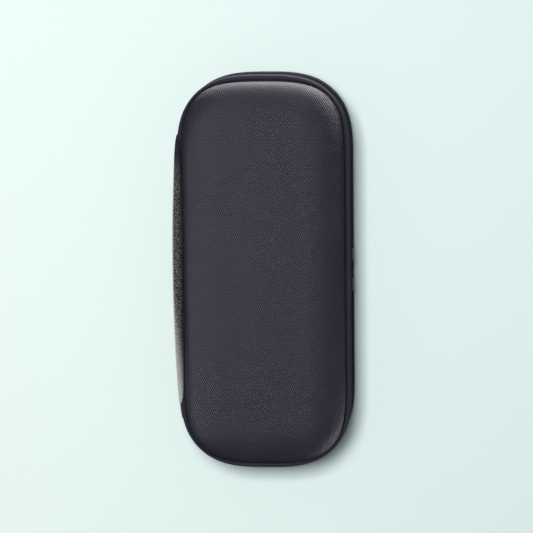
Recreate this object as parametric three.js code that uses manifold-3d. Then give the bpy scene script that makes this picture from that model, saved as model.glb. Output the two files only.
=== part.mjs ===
// Zip case for a blood glucose meter: two moulded shells, a webbing spine and a zip with two sliders.
// Millimetres. The spine is on the -X side and the zip's front on the +X side, Y runs along the case, Z is up.
// The origin is the middle of the flat underside that the closed case lies on.
import * as THREE from 'three';
import { mergeVertices } from 'three/addons/utils/BufferGeometryUtils.js';
import Module from 'manifold-3d';

const wasm = await Module();
wasm.setup();

// The whole case, closed
const CASE_LENGTH = 168;
const CASE_WIDTH = 73.5;
const CASE_HEIGHT = 42;
const CORNER_SHARE = 1 / 3;
const EASE_SHARE = 0.9;
const CORNER_STEPS = 9;
const EASE_STEPS = 60;

// Layers of the moulded wall, from the outside in
const COVER = 0.9;
const FOAM = 3.0;
const FOAM_PRESSED = 1.0;
const LINING = 0.6;
const GLUE = 0.3;

// Rolled rim, pressed groove and crown of each shell
const ZIP_GAP = 9.2;
const RIM_HEIGHT = 7.6;
const RIM_ROUND = 0.9;
const RIM_STEPS = 4;
const RIM_LIP = 0.5;
const GROOVE_WIDTH = 0.6;
const GROOVE_DEPTH = 1.4;
const SHOULDER_SHARE = 5 / 7;
const SHOULDER_STEPS = 5;
const INNER_STEPS = 4;
const SHOULDER_POWER = 2.3;
const CROWN_RISE = 0.3;
const CROWN_SLOPE = 3;

// Zip: tapes, tooth rows and the clearance between sewn or sliding pieces
const CLEARANCE = 0.3;
const TAPE = 0.6;
const TAPE_EDGE = 1.6;
const BINDING = 0.6;
const TEETH = 2.0;
const TEETH_BACK = 3.0;
const TOOTH_PITCH = 3.0;
const TOOTH_LENGTH = 2.0;
const TOOTH_SLIT = 0.6;

// Sliders and pulls
const SLIDER_LENGTH = 11;
const SLIDER_SPACE = 2;
const SLIDER_SIDE = 0.4;
const SLIDER_PLATE = 1.0;
const SLIDER_NOSE = 3;
const SLIDER_TAIL = 1;
const NECK_WIDTH = 1.6;
const NECK_LENGTH = 3;
const BAIL_LENGTH = 6;
const BAIL_POST = 0.9;
const BAIL_WIDTH = 1.8;
const BAIL_BAR = 0.7;
const PULL_THICK = 1.1;
const PULL_WIDTH = 5.2;
const PULL_WAIST = 3.4;
const PULL_STEPS = 5;
const PULL_LENGTH = 17;
const PULL_BAR = 1.0;
const PULL_WINDOW_LENGTH = 4;
const PULL_SIDE = 0.5;
const PULL_TURN = 0.3;

// Webbing spine over both rims
const SPINE = 1.8;
const SPINE_END = 0.5;
const SPINE_LENGTH = 116;
const SPINE_SHIFT = 1;
const SPINE_WRAP = THREE.MathUtils.degToRad(60);
const SPINE_STEPS = 3;
const SPINE_STATIONS = 16;
const ZIP_TUCK = 12;

// Elastic loops, strap and net pocket
const ELASTIC = 1.2;
const ELASTIC_STEPS = 10;
const STRAP_SPAN = 32;
const STRAP_RISE = 13;
const STRAP_FOOT = 3;
const STRAP_WIDTH = 34;
const STRAP_FROM_END = 60;
const VIAL_SPAN = 29;
const VIAL_RISE = 13;
const VIAL_FOOT = 3;
const VIAL_WIDTH = 24;
const VIAL_FROM_END = 40;
const LANCING_SPAN = 14;
const LANCING_RISE = 11;
const LANCING_FOOT = 2.4;
const LANCING_WIDTH = 14;
const LANCING_X = -10;
const LANCING_SPACING = 64;
const NET = 0.8;
const HEM_WIDTH = 5;
const HEM_THICK = 2;
const HEM_X = 1;

// Heights above or below the parting plane, and depths into the wall, that the pieces share
const parting = CASE_HEIGHT / 2;
const rimEdge = ZIP_GAP / 2;
const rimTop = rimEdge + RIM_HEIGHT;
const grooveFloor = rimTop - GROOVE_DEPTH;
const crownTop = parting - CROWN_RISE;
const crownInset = 2 * RIM_ROUND + GROOVE_WIDTH;
const foamOut = COVER + GLUE;
const foamIn = foamOut + FOAM;
const liningOut = foamIn + GLUE;
const liningIn = liningOut + LINING;
const tapeOut = liningIn + CLEARANCE;
const tapeIn = tapeOut + TAPE;
const bindingOut = tapeIn + CLEARANCE;
const bindingIn = bindingOut + BINDING;
const teethIn = tapeOut - CLEARANCE;
const teethOut = teethIn - TEETH;
const ledgeUnder = ledgeHeight(liningIn) - CLEARANCE;
const floorHeight = crownTop - liningIn;
const cornerRadius = CASE_WIDTH * CORNER_SHARE;
const cornerEase = cornerRadius * EASE_SHARE;
const cornerRun = (Math.PI / 2) * cornerRadius + cornerEase;
const shoulder = cornerRadius * SHOULDER_SHARE;

// Directions that a flat profile's x, y and thickness are turned to
const AXIS_X = new THREE.Vector3(1, 0, 0);
const AXIS_Y = new THREE.Vector3(0, 1, 0);
const AXIS_Z = new THREE.Vector3(0, 0, 1);

// The foam is pressed thin under the groove, so what lies inside it moves out by that much
function ledgeHeight(depth) {
  const pressed = depth > foamOut ? FOAM - FOAM_PRESSED : 0;
  return grooveFloor - depth + pressed;
}

// How far the edge has turned after a run into a corner, where its curvature ramps up, stays and ramps down
function turnAfter(run) {
  const ramp = 2 * cornerRadius * cornerEase;
  const left = cornerRun - run;
  if (run < cornerEase) return run ** 2 / ramp;
  if (left < cornerEase) return Math.PI / 2 - left ** 2 / ramp;
  return (run - cornerEase / 2) / cornerRadius;
}

// The run after which the edge has turned so far, up to half of the corner
function runToTurn(turn) {
  const ramp = 2 * cornerRadius * cornerEase;
  const ramped = cornerEase / (2 * cornerRadius);
  return turn < ramped ? Math.sqrt(turn * ramp) : cornerEase + (turn - ramped) * cornerRadius;
}

// Where a run into a corner ends: x onwards from its start, y inwards
function cornerPlace(run) {
  const place = new THREE.Vector2();
  const step = run / EASE_STEPS;
  for (let i = 0; i < EASE_STEPS; i += 1) {
    const turn = turnAfter((i + 0.5) * step);
    place.x += step * Math.cos(turn);
    place.y += step * Math.sin(turn);
  }
  return place;
}

// Places round one corner of the case's edge, clockwise from above, each with its outward direction
function cornerStations(sideX, sideY) {
  const reach = cornerPlace(cornerRun).x;
  const stations = Array.from({ length: CORNER_STEPS + 1 }, (_, step) => {
    const turn = (step / CORNER_STEPS) * (Math.PI / 2);
    const run = turn > Math.PI / 4 ? cornerRun - runToTurn(Math.PI / 2 - turn) : runToTurn(turn);
    const place = cornerPlace(run);
    const edge = new THREE.Vector2(CASE_WIDTH / 2 - reach + place.x, CASE_LENGTH / 2 - place.y);
    const out = new THREE.Vector2(Math.sin(turn), Math.cos(turn));
    edge.set(sideX * edge.x, sideY * edge.y);
    out.set(sideX * out.x, sideY * out.y);
    return { edge, out };
  });
  return sideX === sideY ? stations : stations.reverse();
}

// The whole edge of the case, from the spine's upper end over the zip's front to the spine's lower end
const edgeLoop = [
  ...cornerStations(-1, 1),
  ...cornerStations(1, 1),
  ...cornerStations(1, -1),
  ...cornerStations(-1, -1),
];

// The zip's run: the same edge, with both ends tucked under the spine
function spineSideStation(y) {
  return { edge: new THREE.Vector2(-CASE_WIDTH / 2, y), out: new THREE.Vector2(-1, 0) };
}
const zipRun = [
  spineSideStation(SPINE_SHIFT + SPINE_LENGTH / 2 - ZIP_TUCK),
  ...edgeLoop,
  spineSideStation(SPINE_SHIFT - SPINE_LENGTH / 2 + ZIP_TUCK),
];

function insetPoint(station, depth) {
  return station.edge.clone().addScaledVector(station.out, -depth);
}

// Stations at even distances along a run, measured `depth` inside the edge
function evenStations(run, depth, spacing) {
  const lengths = [0];
  for (let i = 1; i < run.length; i += 1) {
    const step = insetPoint(run[i], depth).distanceTo(insetPoint(run[i - 1], depth));
    lengths.push(lengths[i - 1] + step);
  }
  const total = lengths[lengths.length - 1];
  const count = Math.round(total / spacing);
  return Array.from({ length: count + 1 }, (_, index) => {
    const distance = (index / count) * total;
    const next = Math.max(1, lengths.findIndex((length) => length >= distance - 1e-6));
    const share = (distance - lengths[next - 1]) / (lengths[next] - lengths[next - 1]);
    const edge = run[next - 1].edge.clone().lerp(run[next].edge, share);
    const out = run[next - 1].out.clone().lerp(run[next].out, share).normalize();
    return { edge, out };
  });
}

// Closed surface through rings of equal length. A wrapped one joins its last ring to its first,
// and the others get a cap on both ends.
function skin(rings, wrapped = false) {
  const size = rings[0].length;
  const points = rings.flat();
  const faces = [];
  const bands = wrapped ? rings.length : rings.length - 1;
  for (let band = 0; band < bands; band += 1) {
    const here = band * size;
    const there = ((band + 1) % rings.length) * size;
    for (let i = 0; i < size; i += 1) {
      const j = (i + 1) % size;
      faces.push(here + i, there + i, there + j, here + i, there + j, here + j);
    }
  }
  if (!wrapped) {
    capRing(points, faces, 0, size, true);
    capRing(points, faces, (rings.length - 1) * size, size, false);
  }
  return facingOut(points, faces);
}

// Fan of triangles from a ring's middle
function capRing(points, faces, start, size, reversed) {
  const middle = new THREE.Vector3();
  for (let i = 0; i < size; i += 1) middle.addScaledVector(points[start + i], 1 / size);
  const centre = points.push(middle) - 1;
  for (let i = 0; i < size; i += 1) {
    const a = start + i;
    const b = start + ((i + 1) % size);
    faces.push(...(reversed ? [centre, a, b] : [centre, b, a]));
  }
}

// Geometry from points and triangles, turned so that its faces point out
function facingOut(points, faces) {
  let volume = 0;
  for (let i = 0; i < faces.length; i += 3) {
    const [a, b, c] = [points[faces[i]], points[faces[i + 1]], points[faces[i + 2]]];
    volume += a.dot(b.clone().cross(c));
  }
  const geometry = new THREE.BufferGeometry().setFromPoints(points);
  geometry.setIndex(volume < 0 ? faces.slice().reverse() : faces);
  return geometry;
}

// A ring round the case, `depth` inside its edge and `height` from the parting plane, on side +1 or -1
function edgeRing(stations, [depth, height], side) {
  return stations.map((station) => {
    const point = insetPoint(station, depth);
    return new THREE.Vector3(point.x, point.y, parting + side * height);
  });
}

// A closed section of [depth, height] points carried along a run
function sweep(run, section, side, wrapped) {
  const rings = run.map((station) => section.map((place) => edgeRing([station], place, side)[0]));
  return skin(rings, wrapped);
}

function rectangle(depthA, depthB, heightA, heightB) {
  return [[depthA, heightA], [depthB, heightA], [depthB, heightB], [depthA, heightB]];
}

// Solids for cutting and joining
function toSolid(geometry) {
  const bare = geometry.clone();
  bare.deleteAttribute('normal');
  bare.deleteAttribute('uv');
  const merged = mergeVertices(bare, 1e-4);
  const vertProperties = new Float32Array(merged.attributes.position.array);
  const triVerts = new Uint32Array(merged.index.array);
  return new wasm.Manifold(new wasm.Mesh({ numProp: 3, vertProperties, triVerts }));
}

function joined(geometries) {
  return fromSolid(geometries.map(toSolid).reduce((sum, next) => sum.add(next)));
}

function cutAway(geometry, tool) {
  return fromSolid(toSolid(geometry).subtract(toSolid(tool)));
}

function fromSolid(solid) {
  const mesh = solid.getMesh();
  const geometry = new THREE.BufferGeometry();
  geometry.setAttribute('position', new THREE.BufferAttribute(new Float32Array(mesh.vertProperties), 3));
  geometry.setIndex(new THREE.BufferAttribute(new Uint32Array(mesh.triVerts), 1));
  return geometry;
}

// A flat shape with a thickness, turned to three directions and centred on its thickness
function slab(shape, thickness, alongX, alongY, alongThickness, curveSegments = ELASTIC_STEPS) {
  const geometry = new THREE.ExtrudeGeometry(shape, { depth: thickness, bevelEnabled: false, curveSegments });
  geometry.translate(0, 0, -thickness / 2);
  return geometry.applyMatrix4(new THREE.Matrix4().makeBasis(alongX, alongY, alongThickness));
}

// Moulded wall: from the rim's edge over the pressed ledge and the shoulder to the crown
function wallProfile(depth, steps) {
  const ledge = ledgeHeight(depth);
  return [
    [depth, rimEdge],
    [depth, ledge],
    [crownInset + depth, ledge],
    ...shoulderProfile(depth, steps),
  ];
}

// A quarter of a squared-off ellipse from the upright wall to the level crown
function shoulderProfile(depth, steps) {
  const reach = shoulder - depth;
  const climb = crownTop - depth - grooveFloor;
  return Array.from({ length: steps + 1 }, (_, step) => {
    const angle = (step / steps) * (Math.PI / 2);
    const across = Math.max(0, Math.cos(angle)) ** (2 / SHOULDER_POWER);
    const up = Math.sin(angle) ** (2 / SHOULDER_POWER);
    return [crownInset + shoulder - reach * across, grooveFloor + climb * up];
  });
}

// The slightly domed middle of the crown
function crownProfile(depth) {
  return [[crownInset + shoulder + CROWN_SLOPE, crownTop - depth + CROWN_RISE]];
}

// Outside of the cloth: rolled rim, pressed groove, shoulder and crown
function coverFace() {
  const bead = Array.from({ length: RIM_STEPS + 1 }, (_, step) => {
    const angle = Math.PI * (1 - step / RIM_STEPS);
    return [RIM_ROUND + RIM_ROUND * Math.cos(angle), rimTop - RIM_ROUND + RIM_ROUND * Math.sin(angle)];
  });
  return [
    [RIM_LIP, rimEdge],
    [0, rimEdge + RIM_LIP],
    ...bead,
    [2 * RIM_ROUND, grooveFloor],
    ...shoulderProfile(0, SHOULDER_STEPS),
    ...crownProfile(0),
  ];
}

// A shell between an outer and an inner profile, both running from the rim to the crown
function shell(outer, inner, side) {
  const profile = [...outer.slice().reverse(), ...inner];
  return skin(profile.map((place) => edgeRing(edgeLoop, place, side)));
}

function coverShell(side) {
  const inner = [...wallProfile(COVER, SHOULDER_STEPS), ...crownProfile(COVER)];
  return shell(coverFace(), inner, side);
}

function foamShell(side) {
  const outer = [...wallProfile(foamOut, SHOULDER_STEPS), ...crownProfile(foamOut)];
  return shell(outer, wallProfile(foamIn, INNER_STEPS), side);
}

function liningShell(side) {
  return shell(wallProfile(liningOut, INNER_STEPS), wallProfile(liningIn, INNER_STEPS), side);
}

// Zip tape, sewn inside the rim, and the binding over its inner edge
function zipTape(side) {
  return sweep(zipRun, rectangle(tapeOut, tapeIn, TAPE_EDGE, ledgeUnder), side, false);
}

function bindingStrip(side) {
  return sweep(edgeLoop, rectangle(bindingOut, bindingIn, rimEdge + CLEARANCE, ledgeUnder), side, true);
}

// Where a slider's neck is, from the middle of the front side
const neckReach = SLIDER_SPACE / 2 + NECK_WIDTH / 2 + NECK_LENGTH;

// One tooth row: tips and hollows by turns, in step with the other row's hollows and tips.
// The rows stand apart where the sliders' necks pass between them.
function toothRow(side) {
  const stations = evenStations(zipRun, teethOut, TOOTH_PITCH / 2);
  const hollow = (TOOTH_LENGTH + TOOTH_SLIT) / 2;
  const tip = (TOOTH_SLIT - TOOTH_LENGTH) / 2;
  const rings = stations.map((station, index) => {
    const parted = station.edge.x > 0 && Math.abs(station.edge.y) < neckReach + TOOTH_PITCH / 2;
    const pointed = (index % 2 === 0) === (side > 0);
    const front = pointed && !parted ? tip : hollow;
    const section = rectangle(teethOut, teethIn, front, TEETH_BACK);
    return section.map((place) => edgeRing([station], place, side)[0]);
  });
  return skin(rings);
}

// Webbing spine: hugs the outside of both rims, laps over their rolled tops and thins towards its ends
function spineStrip() {
  const inner = CLEARANCE + RIM_ROUND;
  const outer = inner + SPINE;
  const beadMiddle = new THREE.Vector2(-CASE_WIDTH / 2 + RIM_ROUND, rimTop - RIM_ROUND);
  const lap = SPINE_WRAP;
  const shape = new THREE.Shape();
  shape.absarc(beadMiddle.x, beadMiddle.y, outer, lap, Math.PI, false);
  shape.absarc(beadMiddle.x, -beadMiddle.y, outer, Math.PI, 2 * Math.PI - lap, false);
  shape.absarc(beadMiddle.x, -beadMiddle.y, inner, 2 * Math.PI - lap, Math.PI, true);
  shape.absarc(beadMiddle.x, beadMiddle.y, inner, Math.PI, lap, true);
  const options = { depth: SPINE_LENGTH, steps: SPINE_STATIONS, bevelEnabled: false, curveSegments: SPINE_STEPS };
  const strip = new THREE.ExtrudeGeometry(shape, options).translate(0, 0, -SPINE_LENGTH / 2);
  const place = new THREE.Vector3();
  for (let i = 0; i < strip.attributes.position.count; i += 1) {
    place.fromBufferAttribute(strip.attributes.position, i);
    const bead = new THREE.Vector3(beadMiddle.x, Math.sign(place.y) * beadMiddle.y, place.z);
    const alongShare = place.z / (SPINE_LENGTH / 2);
    const thickness = SPINE_END + (SPINE - SPINE_END) * (1 - alongShare * alongShare);
    const reach = place.clone().sub(bead);
    if (reach.length() > inner + SPINE / 2) place.copy(bead).add(reach.setLength(inner + thickness));
    strip.attributes.position.setXYZ(i, place.x, place.y, place.z);
  }
  strip.applyMatrix4(new THREE.Matrix4().makeBasis(AXIS_X, AXIS_Z, AXIS_Y.clone().negate()));
  return strip.translate(0, SPINE_SHIFT, parting);
}

// Slider, with its tail towards +Y, its outer face towards +X and the case's edge at x = 0
const sliderHalfWidth = rimEdge - SLIDER_SIDE;
const outerPlateIn = teethOut - CLEARANCE;
const outerPlateOut = outerPlateIn - SLIDER_PLATE;
const innerPlateOut = tapeIn + CLEARANCE;
const innerPlateIn = innerPlateOut + SLIDER_PLATE;
const flangeIn = tapeOut - CLEARANCE;
const pullMiddle = outerPlateOut - CLEARANCE - PULL_THICK / 2;
const bailUnder = pullMiddle - PULL_THICK / 2 - PULL_TURN;

// A block between two depths, its outline in y and z
function zipBlock(shape, depthOut, depthIn) {
  const block = slab(shape, depthIn - depthOut, AXIS_Y, AXIS_Z, AXIS_X, RIM_STEPS);
  return block.translate(-(depthOut + depthIn) / 2, 0, 0);
}

function oblong(firstLow, firstHigh, secondLow, secondHigh) {
  const corners = [[firstLow, secondLow], [firstHigh, secondLow], [firstHigh, secondHigh], [firstLow, secondHigh]];
  return new THREE.Shape(corners.map((corner) => new THREE.Vector2(...corner)));
}

// Rounded plate: wide radius at the nose, small one at the tail
function sliderPlate() {
  const nose = -SLIDER_LENGTH / 2;
  const tail = SLIDER_LENGTH / 2;
  const half = sliderHalfWidth;
  const shape = new THREE.Shape();
  shape.absarc(nose + SLIDER_NOSE, -half + SLIDER_NOSE, SLIDER_NOSE, Math.PI, 1.5 * Math.PI, false);
  shape.absarc(tail - SLIDER_TAIL, -half + SLIDER_TAIL, SLIDER_TAIL, 1.5 * Math.PI, 2 * Math.PI, false);
  shape.absarc(tail - SLIDER_TAIL, half - SLIDER_TAIL, SLIDER_TAIL, 0, 0.5 * Math.PI, false);
  shape.absarc(nose + SLIDER_NOSE, half - SLIDER_NOSE, SLIDER_NOSE, 0.5 * Math.PI, Math.PI, false);
  return shape;
}

// Wedge that parts the tooth rows, rounded at the nose and pointed towards the tail
function neckShape() {
  const front = -SLIDER_LENGTH / 2 + NECK_WIDTH / 2;
  const shape = new THREE.Shape();
  shape.absarc(front, 0, NECK_WIDTH / 2, 0.5 * Math.PI, 1.5 * Math.PI, false);
  shape.lineTo(front + NECK_LENGTH, 0);
  return shape;
}

// Bridge that traps the pull's bar
function bailBridge() {
  const half = BAIL_LENGTH / 2;
  const foot = -(outerPlateOut + SLIDER_PLATE / 2);
  const under = -bailUnder;
  const top = under + BAIL_BAR;
  const shape = new THREE.Shape();
  shape.moveTo(half, foot);
  shape.absarc(half - BAIL_POST, top - BAIL_POST, BAIL_POST, 0, 0.5 * Math.PI, false);
  shape.absarc(-half + BAIL_POST, top - BAIL_POST, BAIL_POST, 0.5 * Math.PI, Math.PI, false);
  shape.lineTo(-half, foot);
  shape.lineTo(-half + BAIL_POST, foot);
  shape.lineTo(-half + BAIL_POST, under);
  shape.lineTo(half - BAIL_POST, under);
  shape.lineTo(half - BAIL_POST, foot);
  return slab(shape, BAIL_WIDTH, AXIS_Y, AXIS_X, AXIS_Z.clone().negate(), RIM_STEPS);
}

function sliderBody() {
  const overlap = SLIDER_PLATE / 2;
  const flangeStart = -SLIDER_LENGTH / 2 + SLIDER_NOSE;
  const flangeEnd = SLIDER_LENGTH / 2 - SLIDER_TAIL;
  const flangeLow = TEETH_BACK + SLIDER_SIDE;
  const flanges = [-1, 1].map((side) => {
    const [low, high] = [side * flangeLow, side * sliderHalfWidth].sort((a, b) => a - b);
    return zipBlock(oblong(flangeStart, flangeEnd, low, high), outerPlateIn - overlap, flangeIn);
  });
  return joined([
    zipBlock(sliderPlate(), outerPlateOut, outerPlateIn),
    zipBlock(sliderPlate(), innerPlateOut, innerPlateIn),
    zipBlock(neckShape(), outerPlateIn - overlap, innerPlateOut + overlap),
    ...flanges,
    bailBridge(),
  ]);
}

// Pull tab: an eye for the bail, a waist and a round grip, with its bar on the swing axis at the local origin
function pullTab() {
  const half = PULL_WIDTH / 2;
  const waist = PULL_WAIST / 2;
  const back = -PULL_BAR / 2;
  const windowEnd = PULL_BAR / 2 + PULL_WINDOW_LENGTH;
  const eyeEnd = windowEnd + PULL_BAR;
  const gripStart = PULL_LENGTH - half;
  const middle = (eyeEnd + gripStart) / 2;
  const ease = (middle - eyeEnd) / 2;
  const shape = new THREE.Shape();
  shape.moveTo(back, -half);
  shape.lineTo(eyeEnd, -half);
  shape.bezierCurveTo(eyeEnd + ease, -half, middle - ease, -waist, middle, -waist);
  shape.bezierCurveTo(middle + ease, -waist, gripStart - ease, -half, gripStart, -half);
  shape.absarc(gripStart, 0, half, -0.5 * Math.PI, 0.5 * Math.PI, false);
  shape.bezierCurveTo(gripStart - ease, half, middle + ease, waist, middle, waist);
  shape.bezierCurveTo(middle - ease, waist, eyeEnd + ease, half, eyeEnd, half);
  shape.lineTo(back, half);
  const tab = slab(shape, PULL_THICK, AXIS_Y, AXIS_Z, AXIS_X, PULL_STEPS);
  const windowHalf = BAIL_WIDTH / 2 + PULL_SIDE;
  const opening = oblong(PULL_BAR / 2, windowEnd, -windowHalf, windowHalf);
  return cutAway(tab, slab(opening, 2 * PULL_THICK, AXIS_Y, AXIS_Z, AXIS_X));
}

// Elastic band sewn down at both feet, bowed up between them; it stands on y = 0
function bandShape(span, rise, foot) {
  const across = span / 2 + ELASTIC;
  const up = rise + ELASTIC;
  const start = Math.asin(ELASTIC / up);
  const shape = new THREE.Shape();
  shape.moveTo(-across - foot, 0);
  shape.lineTo(-across - foot, ELASTIC);
  shape.absellipse(0, 0, across, up, Math.PI - start, start, true);
  shape.lineTo(across + foot, ELASTIC);
  shape.lineTo(across + foot, 0);
  shape.absellipse(0, 0, span / 2, rise, 0, Math.PI, false);
  return shape;
}

const baseFloor = parting - floorHeight + CLEARANCE;
const lidRoof = parting + floorHeight - CLEARANCE;

function meterStrap() {
  const shape = bandShape(STRAP_SPAN, STRAP_RISE, STRAP_FOOT);
  const band = slab(shape, STRAP_WIDTH, AXIS_X, AXIS_Z, AXIS_Y.clone().negate());
  return band.translate(0, CASE_LENGTH / 2 - STRAP_FROM_END, baseFloor);
}

function vialLoop() {
  const band = slab(bandShape(VIAL_SPAN, VIAL_RISE, VIAL_FOOT), VIAL_WIDTH, AXIS_Y, AXIS_Z, AXIS_X);
  return band.translate(0, VIAL_FROM_END - CASE_LENGTH / 2, baseFloor);
}

function lancingLoop(side) {
  const shape = bandShape(LANCING_SPAN, LANCING_RISE, LANCING_FOOT);
  const band = slab(shape, LANCING_WIDTH, AXIS_X, AXIS_Z.clone().negate(), AXIS_Y);
  return band.translate(LANCING_X, side * LANCING_SPACING / 2, lidRoof);
}

// Net pocket: a panel sewn under the lid's ledge on three sides, with an elastic hem on its open side
const netInset = bindingIn + CLEARANCE;
const netEndY = CASE_LENGTH / 2 - netInset;
const netTop = parting + ledgeUnder;

function pocketNet() {
  const outline = new THREE.Shape(edgeLoop.map((station) => insetPoint(station, netInset)));
  const panel = slab(outline, NET, AXIS_X, AXIS_Y, AXIS_Z);
  const openEdge = HEM_X + HEM_WIDTH + CLEARANCE;
  const spineSide = slab(oblong(-CASE_WIDTH, openEdge, -CASE_LENGTH, CASE_LENGTH), 2 * NET, AXIS_X, AXIS_Y, AXIS_Z);
  return cutAway(panel, spineSide).translate(0, 0, netTop - NET / 2);
}

function pocketHem() {
  const round = HEM_THICK / 2;
  const shape = new THREE.Shape();
  shape.absarc(HEM_X + round, 0, round, 0.5 * Math.PI, 1.5 * Math.PI, false);
  shape.absarc(HEM_X + HEM_WIDTH - round, 0, round, -0.5 * Math.PI, 0.5 * Math.PI, false);
  const band = slab(shape, 2 * netEndY, AXIS_X, AXIS_Z, AXIS_Y.clone().negate(), RIM_STEPS);
  return band.translate(0, 0, netTop - round);
}

// Finishes
function finish(color, roughness, metalness = 0) {
  return { color, roughness, metalness };
}
const WOVEN_CLOTH = finish(0x3f3d47, 0.9);
const FOAM_BLACK = finish(0x1d1d20, 0.95);
const KNIT_LINING = finish(0x2a2930, 0.95);
const WEBBING = finish(0x34323a, 0.85);
const ZIP_TAPE = finish(0x26252b, 0.9);
const ZIP_NYLON = finish(0x2f2e35, 0.5);
const SLIDER_METAL = finish(0x3b3a3f, 0.35, 0.9);
const ELASTIC_BLACK = finish(0x202024, 0.8);
const NET_BLACK = finish(0x18181b, 0.7);

const zipCase = new THREE.Group();

function add(name, geometry, look) {
  const mesh = new THREE.Mesh(geometry, new THREE.MeshStandardMaterial(look));
  mesh.name = name;
  zipCase.add(mesh);
  return mesh;
}

// Both shells are the same moulding: the lid above the parting plane, the base below it
for (const [half, level, side] of [['lid', 'upper', 1], ['base', 'lower', -1]]) {
  add(`${half}_cover`, coverShell(side), WOVEN_CLOTH);
  add(`${half}_foam`, foamShell(side), FOAM_BLACK);
  add(`${half}_lining`, liningShell(side), KNIT_LINING);
  add(`${half}_binding`, bindingStrip(side), WEBBING);
  add(`zipper_tape_${level}`, zipTape(side), ZIP_TAPE);
  add(`zipper_teeth_${level}`, toothRow(side), ZIP_NYLON);
  add(`lancing_loop_${level}`, lancingLoop(side), ELASTIC_BLACK);

  // The two sliders stand nose to nose in the middle of the front side
  const place = new THREE.Group();
  place.position.set(CASE_WIDTH / 2, side * (SLIDER_LENGTH + SLIDER_SPACE) / 2, parting);
  place.rotation.x = side > 0 ? 0 : Math.PI;
  place.add(add(`slider_${level}`, sliderBody(), SLIDER_METAL));
  const pull = add(`pull_${level}`, pullTab(), SLIDER_METAL);
  pull.position.x = -pullMiddle;
  place.add(pull);
  zipCase.add(place);
}

add('spine', spineStrip(), WEBBING);
add('meter_strap', meterStrap(), ELASTIC_BLACK);
add('vial_loop', vialLoop(), ELASTIC_BLACK);
add('pocket_net', pocketNet(), NET_BLACK);
add('pocket_hem', pocketHem(), ELASTIC_BLACK);

export default zipCase;
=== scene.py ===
# %% [markdown]
# # A zip case for a blood glucose meter
# The case lies closed on a table: two moulded shells of cloth over foam, a webbing spine that is their hinge,
# and a zip with two sliders round the other three sides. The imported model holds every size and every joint.
# This lesson dresses it: each soft solid is replaced by a surface that is worked out with numpy, so that
# the cloth, the seams and the zip look sewn and woven.

import bmesh
import bpy
import numpy as np
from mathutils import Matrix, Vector


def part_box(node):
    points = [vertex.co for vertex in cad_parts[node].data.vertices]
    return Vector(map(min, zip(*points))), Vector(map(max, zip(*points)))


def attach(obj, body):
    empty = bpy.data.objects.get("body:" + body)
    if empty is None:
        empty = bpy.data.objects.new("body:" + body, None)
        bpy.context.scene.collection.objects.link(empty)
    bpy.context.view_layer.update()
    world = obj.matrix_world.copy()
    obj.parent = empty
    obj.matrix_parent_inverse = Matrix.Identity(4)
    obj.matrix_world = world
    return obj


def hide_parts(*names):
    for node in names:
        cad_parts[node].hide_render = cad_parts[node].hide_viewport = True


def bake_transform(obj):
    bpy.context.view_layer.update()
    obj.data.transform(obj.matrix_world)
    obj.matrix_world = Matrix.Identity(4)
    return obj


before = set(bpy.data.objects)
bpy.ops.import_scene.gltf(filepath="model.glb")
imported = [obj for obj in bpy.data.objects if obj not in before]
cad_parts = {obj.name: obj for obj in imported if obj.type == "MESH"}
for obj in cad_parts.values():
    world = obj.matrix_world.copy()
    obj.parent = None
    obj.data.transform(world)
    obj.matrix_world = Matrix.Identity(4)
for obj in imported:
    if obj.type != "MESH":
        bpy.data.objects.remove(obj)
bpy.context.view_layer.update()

# %% [markdown]
# ## Sizes that everything hangs on
# The lesson works in millimetres, as a pattern maker would, and turns to metres only when a mesh is written.
# The lid's own solid gives the length, the width and the heights, so the cloth can't drift off the part.
# Heights are counted from the parting plane, where the two halves meet, and depths inwards from the edge.

# %% Case sizes
MM = 0.001
lid_low, lid_high = (np.array(corner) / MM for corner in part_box("lid_cover"))
case_width, case_length = (lid_high - lid_low)[:2]
parting = lid_high[2] / 2
rim_edge = lid_low[2] - parting
print(f"case {case_width:.1f} x {case_length:.1f} mm, parting plane at {parting:.1f}, rim edge at {rim_edge:.1f}")

# %% [markdown]
# ## From a grid of points to a piece
# Almost every piece here is a sheet of points with rows and columns: rows run along it, columns across it.
# Blender could give such shapes with curves and modifiers, but a grid keeps the cloth's own coordinates, in
# millimetres along and across the threads, and these go into a UV map for the weave to follow.
# The same few lines serve one big shell or hundreds of little stitches.

# %% Grid helpers
WELD = 0.001


def joined(*axes):
    """Points from their coordinates. A single number or a smaller grid is repeated to fit."""
    return np.stack(np.broadcast_arrays(*axes), -1)


def surface(points, uv, closed_rows=False, closed_columns=False):
    """Quads over one grid of points, or over many copies of it: each cell joins rows i and i + 1 and columns j
    and j + 1. In a closed direction the last line joins the first, and uv has one line more there."""
    rows, columns = points.shape[-3:-1]
    i, j = np.meshgrid(np.arange(rows - 1 + closed_rows), np.arange(columns - 1 + closed_columns), indexing="ij")
    row = joined(i, i + 1, i + 1, i).reshape(-1, 4)
    column = joined(j, j, j + 1, j + 1).reshape(-1, 4)
    cells = (row % rows) * columns + column % columns
    copies = np.arange(points.size // (3 * rows * columns))
    faces = cells + (copies * rows * columns)[:, None, None]
    corners = np.broadcast_to(uv[row, column], (len(copies), *row.shape, 2))
    return points.reshape(-1, 3), faces.reshape(-1, 4), corners.reshape(-1, 2)


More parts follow.
